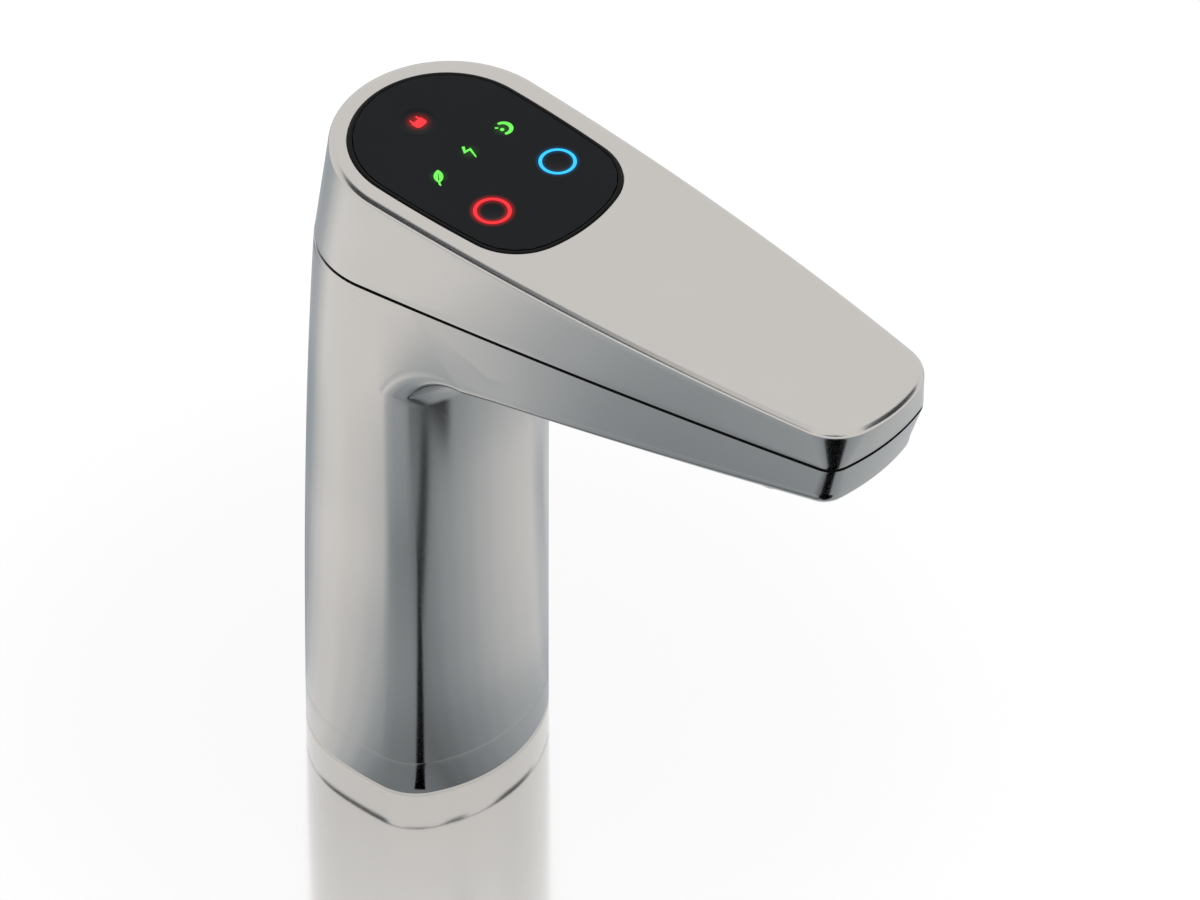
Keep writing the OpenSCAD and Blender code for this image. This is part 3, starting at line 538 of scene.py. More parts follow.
def shell_faces(rings_out, rings_in, open_from):
    """A wall between two skins of like rings, open above from the ring open_from on, and below."""
    count, n = len(rings_out[0]), len(rings_out)
    outside = n * count
    faces = []
    for i in range(n - 1):
        for j in range(count):
            k = (j + 1) % count
            if k == 0 and i >= open_from:
                continue
            quad = (i * count + j, i * count + k, (i + 1) * count + k, (i + 1) * count + j)
            faces.append(quad)
            faces.append(tuple(outside + v for v in reversed(quad)))
    last = (n - 1) * count
    for j in range(count // 2):
        for skin, flip in ((0, False), (outside, True)):
            quad = [skin + last + v for v in (j, j + 1, count - 2 - j, count - 1 - j)]
            quad = list(dict.fromkeys(quad))
            if len(quad) > 2:
                faces.append(tuple(reversed(quad)) if flip else tuple(quad))
    rim = [(i * count, (i + 1) * count) for i in range(open_from, n - 1)]
    rim += [(last, last + count - 1)]
    rim += [((i + 1) * count + count - 1, i * count + count - 1) for i in reversed(range(open_from, n - 1))]
    rim += [(open_from * count + count - 1, open_from * count)]
    rim += [((j + 1) % count, j) for j in range(count)]
    faces += [(a, b, outside + b, outside + a) for a, b in rim]
    return faces


shell_out = shell_rings(shell_from, 0, -seam_gap / 2)
shell_in = shell_rings(shell_from, wall, -seam_gap / 2)
faces = shell_faces(shell_out, shell_in, column_steps + round(back_share * throat_steps))
points = [p for ring in shell_out + shell_in for p in ring]
mesh_piece("body_shell_cast", points, faces, "tap_head", "body_shell", "satin_nickel", satin_nickel)

# ---- Seam gasket ----
# A black rubber strip that fills the seam between the two castings, set back behind their faces
# so that it reads as one dark line.
black_line = grained("gasket_black", (0.004, 0.004, 0.004), 0, 0.85, 0.3, 0.01, 0.2, 0.05, 0.1)
gasket_in = 0.6
gasket_up = seam_gap / 2
gasket_rings = [level_ring(inset(seam, by), lambda f, up=up: seam_at(f) + up) for by, up in
                ((gasket_in, -gasket_up), (gasket_in, gasket_up), (wall, gasket_up), (wall, -gasket_up))]
ring_piece("seam_gasket_strip", gasket_rings, "tap_head", "seam_gasket", "black_rubber", black_line)

# ---- Top cover ----
# The casting that closes the head: a level top with a soft bevel round it, sides that draw in to
# the seam, and a stepped opening with a small chamfer that the touch panel is let into.
top = (30.7, 10.8, 0.4, 938.0, 157.6, 14.0, 42.0)
top_z = 202.0
rim_in = 0.7
rim_round, bevel_w, bevel_turn = 0.8, 1.1, 25
rim_h = bevel_w * tan(bevel_turn) + rim_round * cos(bevel_turn)
rim_w = bevel_w + rim_round * (1 - sin(bevel_turn))
opening = (24.4, 9.7, -1.1, 363.0, 56.9, 16.2, 45.0)
opening_chamfer = 0.35
ledge_z, ledge_under, ledge_w = 199.2, 196.0, 3.5
pocket_out, pocket_drop = 1.4, 3
face_band, chamfer_band = 0.5, 0.3
lip_in, lip_bend, lip_up, lip_share = 0.35, (0.06, 0.12), 0.3, 0.002
cover_steps = (20, 24, 24, 60)


def cover_ring(k, by, up=0.0):
    """A ring of the cover's side: k is 0 at the seam and 1 where the rim begins."""
    return level_ring(inset(between(seam, inset(top, rim_in), k), by),
                      lambda f: mix(seam_at(f) + seam_gap / 2, top_z - rim_h, k) + up, cover_steps)


def opening_ring(by, z):
    """A level ring that lies inside the opening's outline, or outside it if by is below 0."""
    return level_ring(inset(opening, by), z, cover_steps)


side_rings = [cover_ring(0, lip_in), cover_ring(0, *lip_bend), cover_ring(lip_share, 0, lip_up)]
side_rings += [cover_ring(k / 10, 0) for k in range(1, 10)]
rim_rings = [cover_ring(1, rim_round * (1 - sin(a)), rim_round * cos(a))
             for a in range(90, bevel_turn - 1, -5)]
face_rings = [level_ring(inset(top, rim_in + rim_w), top_z, cover_steps),
              level_ring(inset(top, rim_in + rim_w + face_band), top_z, cover_steps),
              opening_ring(-opening_chamfer - chamfer_band, top_z),
              opening_ring(-opening_chamfer, top_z), opening_ring(0, top_z - opening_chamfer)]
inner_rings = [opening_ring(0, ledge_z), opening_ring(ledge_w, ledge_z),
               opening_ring(ledge_w, ledge_under), opening_ring(-pocket_out, ledge_under),
               opening_ring(-pocket_out, top_z - pocket_drop), cover_ring(1, wall, rim_h - pocket_drop),
               cover_ring(0.5, wall), cover_ring(0, wall)]
ring_piece("top_cover_cast", side_rings + rim_rings + face_rings + inner_rings,
           "tap_head", "top_cover", "satin_nickel", satin_nickel)

# ---- Panel seal ----
# A black silicone seal with a rounded top, which fills the step round the touch panel.
seal_black = grained("seal_silicone", (0.0015, 0.0015, 0.0018), 0, 0.3, 0.3, 0.001, 0.2, 0.05, 0.12)
seal_w, seal_gap = 1.3, 0.02
seal_sunk, crown = 0.35, 0.3
seal_step, seal_foot_in = 1, 0.1
seal_rings = [opening_ring(seal_gap, ledge_z + seal_gap)]
seal_rings += [opening_ring(seal_gap + (seal_w - 2 * seal_gap) * (1 - cos(a)) / 2,
                            top_z - seal_sunk + crown * sin(a)) for a in range(0, 181, 15)]
seal_rings += [opening_ring(seal_w - seal_gap, ledge_z + seal_step),
               opening_ring(ledge_w - seal_foot_in, ledge_z + seal_step),
               opening_ring(ledge_w - seal_foot_in, ledge_z + seal_gap)]
ring_piece("panel_seal_moulded", seal_rings, "tap_head", "panel_seal", "panel_seal", seal_black)

# ---- Touch panel ----
# A smoked plate of glossy plastic with a dish for the padlock. The lamps under it shine through
# as a soft glow round each sign and ring.
lock_at = (0.0, 0.4)
ring_at = (12.0, 35.8)
ring_mean_r, ring_line_w = 4.3, 0.9
red, blue, green = (1.0, 0.022, 0.03), (0.01, 0.42, 1.0), (0.11, 0.83, 0.06)
# Each sign's middle across and forward, its colour, and the reach and strength of its glow.
signs = {"lock": (lock_at, red, 4.2, 0.34), "leaf": ((-11.6, 17.6), green, 3.2, 0.07),
         "bolt": ((0.1, 17.4), green, 3.4, 0.05), "steam": ((12.0, 17.8), green, 3.6, 0.07)}
ring_glows = (((-ring_at[0], ring_at[1]), red, 1.9, 0.32), (ring_at, blue, 1.7, 0.12))


def worked_out(tree, kind, operation, *values):
    """A node that works out one value from others, each of them a number, a vector or a socket."""
    node = tree.nodes.new("ShaderNode" + kind)
    node.operation = operation
    for socket, value in zip(node.inputs, values):
        if isinstance(value, bpy.types.NodeSocket):
            tree.links.new(value, socket)
        else:
            socket.default_value = value
    return node


def glow(tree, at, r0, reach, colour, strength):
    """Light that leaks through the panel round the radius r0, fading out over reach."""
    place = tree.nodes.new("ShaderNodeTexCoord")
    middle = (at[0] * mm, -at[1] * mm, top_z * mm)
    off = worked_out(tree, "VectorMath", "SUBTRACT", place.outputs["Object"], middle)
    length = worked_out(tree, "VectorMath", "LENGTH", off.outputs["Vector"])
    from_line = worked_out(tree, "Math", "SUBTRACT", length.outputs["Value"], r0 * mm)
    distance = worked_out(tree, "Math", "ABSOLUTE", from_line.outputs["Value"])
    fade = ramp(tree, distance.outputs["Value"], 0, reach * mm, strength, 0, "SMOOTHERSTEP")
    scaled = worked_out(tree, "VectorMath", "SCALE", colour)
    tree.links.new(fade, scaled.inputs["Scale"])
    return scaled.outputs["Vector"]


smoked = grained("smoked_panel", (0.0075, 0.0085, 0.0095), 0, 0.3, 0.5, 0.0006, 0.06, 0.03, 0.08)
tree = smoked.node_tree
leaks = [glow(tree, at, 0, reach, colour, strength) for at, colour, reach, strength in signs.values()]
leaks += [glow(tree, at, ring_mean_r, reach, colour, strength)
          for at, colour, reach, strength in ring_glows]
total = leaks[0]
for leak in leaks[1:]:
    total = worked_out(tree, "VectorMath", "ADD", total, leak).outputs["Vector"]
shader = tree.nodes["Principled BSDF"]
tree.links.new(total, shader.inputs["Emission Color"])
shader.inputs["Emission Strength"].default_value = 1
finish_node(smoked, "touch_panel")

# ---- Boiling and chilled rings ----
# Two translucent plastic rings let into the panel, lit from below in red for boiling and blue for
# chilled water. Each is domed a little.
lens_depth, lens_sunk, lens_dome = 0.45, 0.05, 0.04
unlit_share = 0.4


def lit(name, colour, strength, white):
    """A translucent plastic lit evenly from below, in its colour with a small share of white."""
    material = grained(name, [c * unlit_share for c in colour], 0, 0.35, 0.4, 0.002, specular=0.1)
    shader = material.node_tree.nodes["Principled BSDF"]
    shader.inputs["Emission Color"].default_value = (*(mix(c, 1, white) for c in colour), 1)
    shader.inputs["Emission Strength"].default_value = strength
    return material


ring_lenses = {-1: ("boiling_ring_lens", "red_lens", lit("boiling_red", red, 0.95, 0.01)),
               1: ("chilled_ring_lens", "blue_lens", lit("chilled_blue", (0.01, 0.5, 1.0), 1.0, 0.03))}
half_line = ring_line_w / 2
for side, (node, slot, material) in ring_lenses.items():
    profile = [(ring_mean_r - half_line, top_z - lens_depth)]
    profile += [(ring_mean_r - half_line * cos(a), top_z - lens_sunk + lens_dome * sin(a))
                for a in range(0, 181, 20)]
    profile += [(ring_mean_r + half_line, top_z - lens_depth)]
    rings = [[(x + side * ring_at[0], y - ring_at[1], z) for x, y, z in ring]
             for ring in turned_rings(profile)]
    ring_piece(node + "_domed", rings, "tap_head", node, slot, material)

# ---- Lit signs ----
# Windows in the panel's print that the lamps shine through: a padlock in its dish, and a leaf, a
# bolt and a steam sign in a row. They are generic signs, drawn as thin plates in the surface.
sign_lift = 0.03
sign_thick = 0.05


def plate(name, loops, at, depth, material):
    """A thin plate in the panel's face from a filled outline, whose later loops are holes."""
    curve = bpy.data.curves.new(name, "CURVE")
    curve.dimensions = "2D"
    curve.fill_mode = "BOTH"
    curve.extrude = sign_thick / 2 * mm
    for loop in loops:
        spline = curve.splines.new("POLY")
        spline.points.add(len(loop) - 1)
        spline.use_cyclic_u = True
        for point, (x, y) in zip(spline.points, loop):
            point.co = (x * mm, y * mm, 0, 1)
    drawn = bpy.data.objects.new(name + "_curve", curve)
    mesh = bpy.data.meshes.new_from_object(drawn)
    bpy.data.objects.remove(drawn)
    middle_z = top_z - depth + sign_lift - sign_thick / 2
    mesh.transform(Matrix.Translation((at[0] * mm, -at[1] * mm, middle_z * mm)))
    mesh.materials.append(material)
    piece = placed(name, mesh)
    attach(piece, "tap_head")
    return piece


def arc_points(x, y, r, a, b, n=12):
    return [(x + r * cos(mix(a, b, i / n)), y + r * sin(mix(a, b, i / n))) for i in range(n + 1)]


def stroke(line, widths):
    """The outline of a line that has a width at each of its points, with sharp corners."""
    points = [Vector(p) for p in line]
    along = [(q - p).normalized() for p, q in zip(points, points[1:])]
    left, right = [], []
    for p, w, u, v in zip(points, widths, along[:1] + along, along + along[-1:]):
        across = Vector((-u.y - v.y, u.x + v.x)).normalized()
        reach = w / 2 / across.dot(Vector((-u.y, u.x)))
        left.append(tuple(p + reach * across))
        right.append(tuple(p - reach * across))
    return left + right[::-1]


def turned(loop, degrees):
    return [(x * cos(degrees) - y * sin(degrees), x * sin(degrees) + y * cos(degrees)) for x, y in loop]


lock_red = lit("lock_red", red, 0.95, 0.02)
body_w, body_from, body_to = 3.5, -1.7, 0.75
shackle_r, shackle_w, shackle_top = 1.1, 0.5, 1.7
dish_depth = 0.35


def shackle(r):
    """Up one leg of the shackle at the radius r, over its bow and down the other leg."""
    return [(r, body_to)] + arc_points(0, shackle_top, r, 0, 180) + [(-r, body_to)]


lock = [(-body_w / 2, body_from), (body_w / 2, body_from), (body_w / 2, body_to)]
lock += shackle(shackle_r + shackle_w / 2) + [(-body_w / 2, body_to)]
lock_gap = shackle(shackle_r - shackle_w / 2)[::-1]
plate("padlock_sign", [lock, lock_gap], lock_at, dish_depth, lock_red)

sign_green = lit("sign_green", (0.10, 0.78, 0.045), 1.0, 0.06)
leaf_l, leaf_w, leaf_turn = 4.7, 2.4, -44
leaf_arc_r = (leaf_l ** 2 + leaf_w ** 2) / (4 * leaf_w)
leaf_sweep = math.degrees(math.asin(leaf_l / 2 / leaf_arc_r))
leaf_half = arc_points(leaf_w / 2 - leaf_arc_r, 0, leaf_arc_r, -leaf_sweep, leaf_sweep)
leaf = turned(leaf_half + [(-x, -y) for x, y in leaf_half[1:-1]], leaf_turn)
leaf_rib = turned(stroke([(0, -1.5), (0, 1.3)], (0.28, 0.12)), leaf_turn)[::-1]
leaf_stem = turned(stroke([(0, -2.0), (0.1, -2.8), (0.35, -3.4)], (0.5, 0.5, 0.4)), leaf_turn)
bolt = stroke([(0.35, 2.5), (-0.85, 0.85), (0.85, 0.6), (-0.3, -2.4)], (0.75, 0.6, 0.6, 0.35))
steam_steps = 24
steam_widths = [0.7 + 0.4 * sin(180 * i / steam_steps) for i in range(steam_steps + 1)]
steam = stroke(arc_points(0, 0, 2.0, 82, -125, steam_steps), steam_widths)
steam_dash = stroke([(-1.3, 1.6), (-0.75, 1.0)], (0.5, 0.5))
steam_dot = arc_points(-0.5, -0.1, 0.55, 0, 330)
sign_shapes = {"leaf_sign": ([leaf, leaf_rib], "leaf"), "leaf_stem_sign": ([leaf_stem], "leaf"),
               "bolt_sign": ([bolt], "bolt"), "steam_sign": ([steam], "steam"),
               "steam_dash_sign": ([steam_dash], "steam"), "steam_dot_sign": ([steam_dot], "steam")}
for name, (loops, sign) in sign_shapes.items():
    plate(name, loops, signs[sign][0], 0, sign_green)

# ---- Light frame, board and its parts ----
# Under the panel a white frame keeps each lamp's light in its own well. The green board below it
# carries the lamps and the connector, and small screws hold both.
white_plastic = grained("white_plastic", (0.72, 0.72, 0.70), 0, 0.45, 0.5, 0.008)
board_green = grained("board_green", (0.015, 0.12, 0.04), 0, 0.3, 1.2, 0.01, 0.25)
lamp_clear = grained("lamp_clear", (0.75, 0.68, 0.42), 0, 0.15, 0.3, 0.002)
lead_black = grained("lead_black", (0.02, 0.02, 0.022), 0, 0.5, 0.4, 0.01, 0.1)
finish_node(white_plastic, "light_frame", "board_connector", "lead_socket")
finish_node(board_green, "touch_board")
finish_node(lamp_clear, "indicator_leds")
finish_node(lead_black, "signal_lead")

# ---- Water tubes ----
# Drawn tubes, copper for boiling and stainless steel for chilled water. They rise through the
# spigot, bend once into the arm and are brazed into the outlet manifold.
tube_x, tube_wall, bend_r = 5.2, 0.8, 22.0
tube_tail = -76.0
bead_from, bead_to, bead_h = -64.0, -62.6, 0.7
bead_steps, bend_steps = 6, 24
tube_lift = wall + 8.5
outlet_f = 120.0
manifold_back, inlet_l = 11.0, 5.0
copper = grained("drawn_copper", (0.75, 0.36, 0.22), 1, 0.26, 0.5, 0.004, 0.08)
stainless = grained("drawn_stainless", (0.60, 0.60, 0.60), 1, 0.22, 0.4, 0.003)
bend_end_f = bend_r * (1 - sin(under_angle))
bend_z = under_at(bend_end_f) + tube_lift / cos(under_angle) - bend_r * cos(under_angle)
run_l = (outlet_f - bend_end_f) / cos(under_angle) - tube_lift * tan(under_angle)
run_l += inlet_l - manifold_back


def tube_stations(bead):
    """Places (forward, height) along a tube's middle, with its turn and how far a bead stands out."""
    line = [(0, tube_tail, 0, 0), (0, bead_from - 0.01, 0, 0)]
    line += [(0, mix(bead_from, bead_to, i / bead_steps), 0, bead * sin(180 * i / bead_steps) ** 0.5)
             for i in range(bead_steps + 1)]
    line += [(0, bead_to + 0.01, 0, 0), (0, bend_z, 0, 0)]
    turn = 90 - under_angle
    for i in range(1, bend_steps + 1):
        a = turn * i / bend_steps
        line.append((bend_r * (1 - cos(a)), bend_z + bend_r * sin(a), a, 0))
    f, z, _, _ = line[-1]
    return line + [(f + run_l * sin(turn), z + run_l * cos(turn), turn, 0)]


for node, x, r, slot, material in (("boiling_tube", -tube_x, 4.0, "copper", copper),
                                   ("chilled_tube", tube_x, 3.2, "steel_tube", stainless)):
    rings = []
    for radius, stations in ((r, tube_stations(bead_h)), (r - tube_wall, tube_stations(0)[::-1])):
        for f, z, turn, out in stations:
            circle = [((radius + out) * cos(a), (radius + out) * sin(a)) for a in range(0, 360, 9)]
            rings.append([(x + u, -(f + v * cos(turn)), z - v * sin(turn)) for u, v in circle])
    ring_piece(node + "_drawn", rings, "tap_head", node, slot, material)

# ---- Tube clip and outlet ----
# A moulded clip steadies both tubes and the lead in the column. At the nose, a brass manifold
# joins the tubes, and its stem carries the straightener and the nozzle under the arm.
clip_black = grained("clip_black", (0.025, 0.025, 0.027), 0, 0.5, 0.5, 0.01, 0.1)
nozzle_metal = grained("nozzle_nickel", (0.40, 0.39, 0.38), 1, 0.24, 0.3, 0.001, 0.015)
finish_node(clip_black, "tube_clip")
finish_node(brass, "outlet_manifold")
finish_node(stainless, "flow_straightener")
finish_node(rubber, "nozzle_seal")
nozzle_r, nozzle_h, lip = 8.2, 8.8, 1.4
nozzle_sunk = 0.75
stem_r, mesh_r, slide = 7.0, 5.6, 0.05
mouth_in, mouth_chamfer = 0.5, 0.2
mesh_from, mesh_to = 0.6, 1.2
nozzle_profile = [(nozzle_r, -nozzle_sunk), (nozzle_r, -nozzle_h + lip)]
nozzle_profile += [(nozzle_r - lip + lip * cos(a), -nozzle_h + lip - lip * sin(a))
                   for a in range(10, 91, 10)]
nozzle_profile += [(mesh_r - mouth_in + mouth_chamfer, -nozzle_h),
                   (mesh_r - mouth_in, -nozzle_h + mouth_chamfer),
                   (mesh_r - mouth_in, -nozzle_h + mesh_from), (mesh_r + slide, -nozzle_h + mesh_from),
                   (mesh_r + slide, -nozzle_h + mesh_to), (stem_r + slide, -nozzle_h + mesh_to),
                   (stem_r + slide, -nozzle_sunk)]


def under_arm(x, y, z):
    """A point measured from the outlet along its own slanting axis, put in its place under the arm."""
    return (x, -(outlet_f - y * cos(under_angle) - z * sin(under_angle)),
            under_at(outlet_f) - y * sin(under_angle) + z * cos(under_angle))


rings = [[under_arm(*point) for point in ring] for ring in turned_rings(nozzle_profile)]
ring_piece("outlet_nozzle_turned", rings, "tap_head", "outlet_nozzle", "satin_nickel", nozzle_metal)

# ---- Worktop ----
# A plain white surface that the tap stands on. It is seen as white, keeps the tap's soft shadow
# and mirrors the tap, less and less further out.
worktop_half = 3000.0
matt_level, white_level = 0.3, 0.8
mirror_level, mirror_roughness = 0.95, 0.08
polish_from, polish_to = 20.0, 270.0
mesh = bpy.data.meshes.new("worktop")
s = worktop_half * mm
mesh.from_pydata([(-s, -s, 0), (s, -s, 0), (s, s, 0), (-s, s, 0)], [], [(0, 1, 2, 3)])
worktop = placed("worktop", mesh)


def background_rays(tree):
    """Two switches: 1 for the camera's rays and those sent on, and 1 for the camera's rays alone."""
    rays = tree.nodes.new("ShaderNodeLightPath")
    most = worked_out(tree, "Math", "MAXIMUM", rays.outputs["Is Camera Ray"],
                      rays.outputs["Is Glossy Ray"])
    every = worked_out(tree, "Math", "MAXIMUM", most.outputs["Value"],
                       rays.outputs["Is Transmission Ray"])
    return every.outputs["Value"], rays.outputs["Is Camera Ray"]


def polished_white():
    """White to look at and matt to the light, with a share of mirror that fades out round the tap."""
    material = bpy.data.materials.new("white_worktop")
    material.use_nodes = True
    tree = material.node_tree
    new, link = tree.nodes.new, tree.links.new
    tree.nodes.clear()
    seen, camera_ray = background_rays(tree)
    matt = new("ShaderNodeBsdfDiffuse")
    matt.inputs["Color"].default_value = (matt_level, matt_level, matt_level, 1)
    white = new("ShaderNodeEmission")
    level = worked_out(tree, "Math", "MULTIPLY", seen, white_level)
    link(level.outputs["Value"], white.inputs["Strength"])
    both = new("ShaderNodeAddShader")
    link(matt.outputs["BSDF"], both.inputs[0])
    link(white.outputs["Emission"], both.inputs[1])
    mirror = new("ShaderNodeBsdfGlossy")
    mirror.inputs["Roughness"].default_value = mirror_roughness
    mirror.inputs["Color"].default_value = (mirror_level, mirror_level, mirror_level, 1)
    place = new("ShaderNodeTexCoord")
    from_tap = worked_out(tree, "VectorMath", "LENGTH", place.outputs["Object"])
    polish = ramp(tree, from_tap.outputs["Value"], polish_from * mm, polish_to * mm, 1, 0, "SMOOTHSTEP")
    share = worked_out(tree, "Math", "MULTIPLY", polish, camera_ray)
    blend = new("ShaderNodeMixShader")
    link(share.outputs["Value"], blend.inputs["Fac"])
    link(both.outputs["Shader"], blend.inputs[1])
    link(mirror.outputs["BSDF"], blend.inputs[2])
    out = new("ShaderNodeOutputMaterial")
    link(blend.outputs["Shader"], out.inputs["Surface"])
    return material


worktop.data.materials.append(polished_white())

# ---- Studio ----
# A white room with a soft box above. The grey cards are seen only where they are mirrored: a graded
# sweep round the tap with a painted shadow near its foot, black strips that draw its corners, and dark
# flags high up for its top edge.
room_level = 0.75
cool_grey = (0.90, 1.0, 1.08, 1)
cool_to, plain_from = 0.4, 0.9
world = bpy.data.worlds.new("white_room")
bpy.context.scene.world = world
world.use_nodes = True
ground = world.node_tree.nodes["Background"]
ground.inputs["Color"].default_value = (1, 1, 1, 1)
seen, _ = background_rays(world.node_tree)
room = ramp(world.node_tree, seen, 0, 1, room_level, 1)
world.node_tree.links.new(room, ground.inputs["Strength"])


def card_print():
    """Card that shines with its printed shade, cooler where it is dark, and is clear from behind."""
    material = bpy.data.materials.new("card_paint")
    material.use_nodes = True
    tree = material.node_tree
    new, link = tree.nodes.new, tree.links.new
    tree.nodes.clear()
    shade = new("ShaderNodeAttribute")
    shade.attribute_name = "level"
    tone = new("ShaderNodeValToRGB")
    cool, plain = tone.color_ramp.elements
    cool.position, plain.position = cool_to, plain_from
    cool.color, plain.color = cool_grey, (1, 1, 1, 1)
    link(shade.outputs["Fac"], tone.inputs["Fac"])
    printed = new("ShaderNodeEmission")
    link(shade.outputs["Fac"], printed.inputs["Strength"])
    link(tone.outputs["Color"], printed.inputs["Color"])
    side = new("ShaderNodeNewGeometry")
    clear = new("ShaderNodeBsdfTransparent")
    from_front = new("ShaderNodeMixShader")
    link(side.outputs["Backfacing"], from_front.inputs["Fac"])
    link(printed.outputs["Emission"], from_front.inputs[1])
    link(clear.outputs["BSDF"], from_front.inputs[2])
    out = new("ShaderNodeOutputMaterial")
    link(from_front.outputs["Shader"], out.inputs["Surface"])
    return material


card_paint = card_print()


def card(name, rows, levels):
    """A sheet through rows of points, each point with its shade, that is seen only mirrored."""
    n = len(rows[0])
    faces = [(i * n + j, (i + 1) * n + j, (i + 1) * n + j + 1, i * n + j + 1)
             for i in range(len(rows) - 1) for j in range(n - 1)]
    mesh = bpy.data.meshes.new(name)
    mesh.from_pydata([(x * mm, y * mm, z * mm) for row in rows for x, y, z in row], [], faces)
    shades = mesh.attributes.new("level", "FLOAT", "POINT")
    shades.data.foreach_set("value", [v for row in levels for v in row])
    mesh.materials.append(card_paint)
    sheet = placed(name, mesh)
    for kind in ("camera", "diffuse", "transmission", "volume_scatter", "shadow"):
        setattr(sheet, "visible_" + kind, False)


def read_off(line, at):
    """The value of a line of (place, value) at a place on it or beyond its ends."""
    at = min(max(at, line[0][0]), line[-1][0])
    for (a, value_a), (b, value_b) in zip(line, line[1:]):
        if at <= b:
            return mix(value_a, value_b, rise(at, a, b))


sweep_at, sweep_z = (-5.0, -10.0), 1
# The sweep's shade by direction in degrees, and what it is multiplied by at each distance.
sweep_round = [(0, 0.62), (12, 0.66), (28, 0.48), (42, 0.40), (58, 0.40), (75, 0.38), (88, 0.45),
               (98, 0.62), (108, 0.78), (120, 0.90), (134, 0.94), (146, 0.84), (155, 0.70), (165, 0.53),
               (176, 0.44), (190, 0.40), (212, 0.38), (232, 0.30), (245, 0.37), (258, 0.47),
               (272, 0.56), (288, 0.68), (304, 0.78), (322, 0.84), (338, 0.86), (350, 0.68), (360, 0.62)]
side_out = [(0, 0.85), (45, 0.97), (75, 1.0), (105, 1.1), (128, 1.04), (150, 1.08), (175, 1.3),
            (220, 1.25), (320, 1.0), (900, 1.2)]
corner_out = [(0, 0.9), (45, 0.95), (75, 1.0), (95, 0.92), (111, 0.85), (120, 0.95), (135, 1.15),
              (155, 1.2), (175, 1.3), (220, 1.25), (320, 1.0), (900, 1.2)]
front_out = [(0, 0.78), (60, 0.92), (90, 1.0), (130, 1.0), (150, 0.8), (175, 0.75), (205, 0.75),
             (240, 0.9), (900, 1.0)]
# Directions and distances between which one part of the sweep gives way to the next.
corner_in = (162, 178)
front_in, front_over = (226, 238), (335, 360)
open_in, open_over = (96, 110), (158, 184)
# Painted shadow: the sweep is darkened near the tap's foot, except on the open side, so that the column
# mirrors shade at its foot.
painted_foot_shadow_depth, painted_foot_shadow_reach = 0.22, (36, 60)
white_in = (900, 2400)


def sweep_level(azimuth, r):
    """How bright the sweep is: its shade by direction, changed with the distance from the tap, and darkened
    near the tap's foot by a painted shadow.
    """
    front = rise(azimuth, *front_in) * (1 - rise(azimuth, *front_over))
    open_side = rise(azimuth, *open_in) * (1 - rise(azimuth, *open_over))
    out = mix(read_off(side_out, r), read_off(corner_out, r), rise(azimuth, *corner_in))
    out = mix(out, read_off(front_out, r), front)
    painted_foot_shadow = painted_foot_shadow_depth * (1 - rise(r, *painted_foot_shadow_reach)) * (1 - open_side)
    shade = read_off(sweep_round, azimuth) * out * (1 - painted_foot_shadow)
    return mix(min(shade, 1), 1, rise(r, *white_in))


sweep_radii = list(range(12, 240, 8)) + [260, 290, 330, 400, 500, 650, 900, 1300, 1800, 2400]
sweep_azimuths = [1.5 * j for j in range(241)]
card("sweep",
     [[(sweep_at[0] + r * cos(a), sweep_at[1] + r * sin(a), sweep_z) for a in sweep_azimuths]
      for r in sweep_radii],
     [[sweep_level(a, r) for a in sweep_azimuths] for r in sweep_radii])

# The strip below the column's corner, as its middle line and its width at each point.
strip_z = 1.5
strip_line = [((-25.0, -21.9), 3.2), ((-27.9, -25.7), 4.2), ((-31.7, -30.4), 5.6), ((-36.4, -36.6), 7.5),
              ((-47, -53), 11), ((-55, -72), 13), ((-60, -95), 13), ((-65, -118), 14), ((-71, -148), 15)]
rows = []
for i, ((x, y), w) in enumerate(strip_line):
    before, after = strip_line[max(i - 1, 0)][0], strip_line[min(i + 1, len(strip_line) - 1)][0]
    along = Vector(after) - Vector(before)
    across = Vector((-along.y, along.x)).normalized() * w / 2
    rows.append([(x + k * across.x, y + k * across.y, strip_z) for k in (-1, 1)])
card("corner_strip", rows, [[0.0, 0.0]] * len(rows))

# The strip before the nose's corner, as its half angle at each distance from under the nose.
nose_at, nose_direction = (-22.0, -150.0), 223
nose_strip = [(8, 36), (110, 36), (200, 26), (330, 10)]
rows = []
for r, half in nose_strip:
    turns = [nose_direction + half * k / 5 for k in range(-5, 6)]
    rows.append([(nose_at[0] + r * cos(a), nose_at[1] + r * sin(a), strip_z) for a in turns])
card("nose_strip", rows, [[0.0] * len(row) for row in rows])

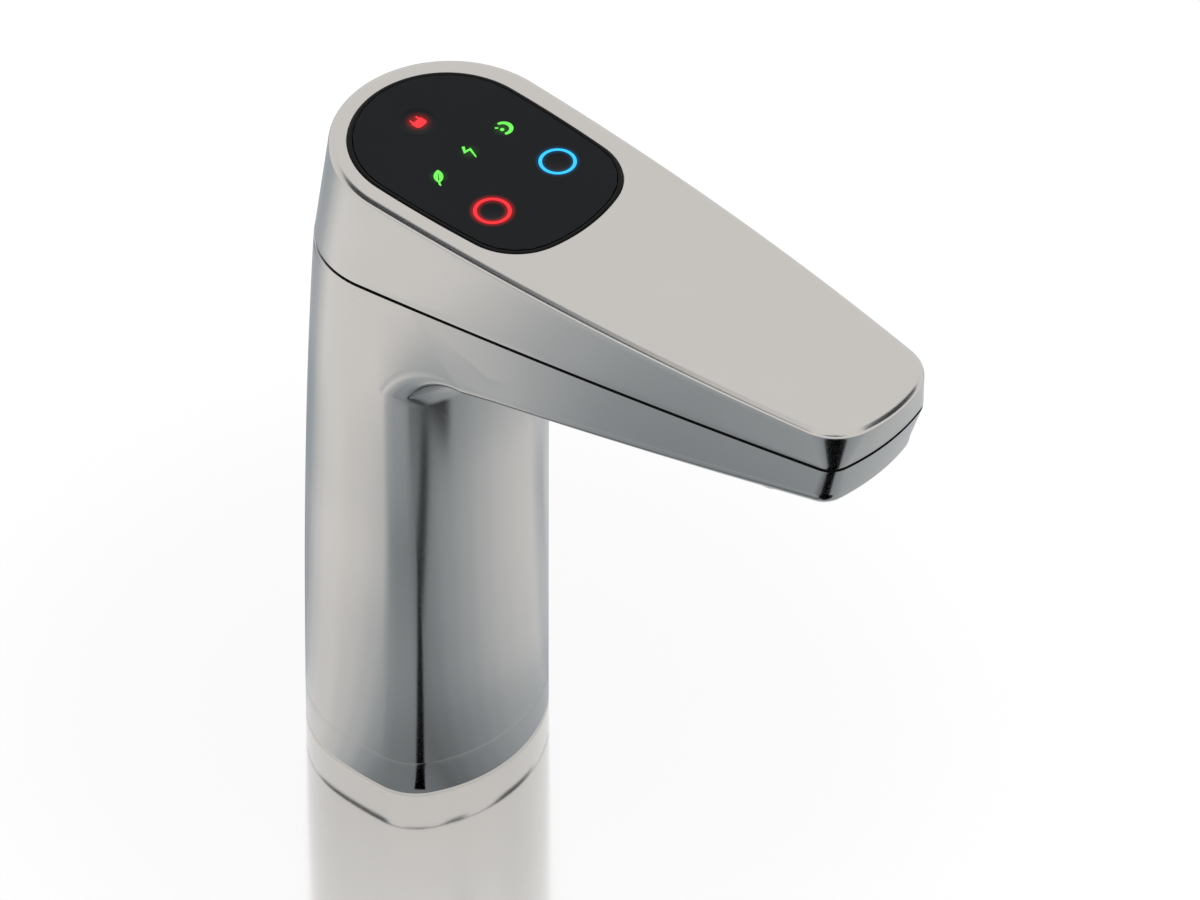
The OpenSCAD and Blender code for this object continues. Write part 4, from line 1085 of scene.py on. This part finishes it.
# Each flag's direction and half width, its elevation and half height, and its shade.
flags = {"left_flag": (112, 46, 59, 10, 0.05), "front_flag": (338, 26, 57, 10, 0.05),
         "corner_flag": (225, 40, 74, 12, 0.0)}
flag_r, flag_fade = 2500.0, 0.3
flag_steps = [k / 8 for k in range(-8, 9)]
for name, (azimuth, half_w, elevation, half_h, shade) in flags.items():
    rows, levels = [], []
    for v in flag_steps:
        e = elevation + half_h * v
        turns = [azimuth + half_w * u for u in flag_steps]
        rows.append([(flag_r * cos(a) * cos(e), flag_r * sin(a) * cos(e), flag_r * sin(e)) for a in turns])
        fades = [smooth((1 - abs(u)) / flag_fade) * smooth((1 - abs(v)) / flag_fade) for u in flag_steps]
        levels.append([mix(shade, 1, 1 - fade) for fade in fades])
    card(name, rows, levels)

lamp_side, lamp_power = 1200.0, 6
lamp_at, lamp_aim = Vector((-500, 300, 1600)), Vector((0, 0, 100))
lamp = bpy.data.lights.new("soft_box", "AREA")
lamp.shape = "RECTANGLE"
lamp.size, lamp.size_y = lamp_side * mm, lamp_side * mm
lamp.energy = lamp_power
lamp_object = placed("soft_box", lamp)
lamp_object.location = lamp_at * mm
lamp_object.rotation_mode = "QUATERNION"
lamp_object.rotation_quaternion = (lamp_aim - lamp_at).to_track_quat("-Z", "Y")
lamp_object.visible_glossy = False

# ---- Camera ----
# A long lens from the tap's left and front, high enough to look down onto the panel.
camera_azimuth, camera_elevation = -48.252, 43.495
camera_distance, camera_sees_to = 4835.0, 100000.0
camera_aim = Vector((28.34, -35.19, 92.11))
focal_px, frame_px, sensor = 19303.0, 1200.0, 36.0
back = Vector((sin(camera_azimuth) * cos(camera_elevation), -cos(camera_azimuth) * cos(camera_elevation),
               sin(camera_elevation)))
camera = bpy.data.cameras.new("camera")
camera.sensor_width = sensor
camera.lens = sensor * focal_px / frame_px
camera.clip_end = camera_sees_to * mm
camera_object = placed("camera", camera)
camera_object.location = (camera_aim + back * camera_distance) * mm
camera_object.rotation_mode = "QUATERNION"
camera_object.rotation_quaternion = (-back).to_track_quat("-Z", "Y")
bpy.context.scene.camera = camera_object
bpy.context.scene.view_settings.view_transform = "Standard"
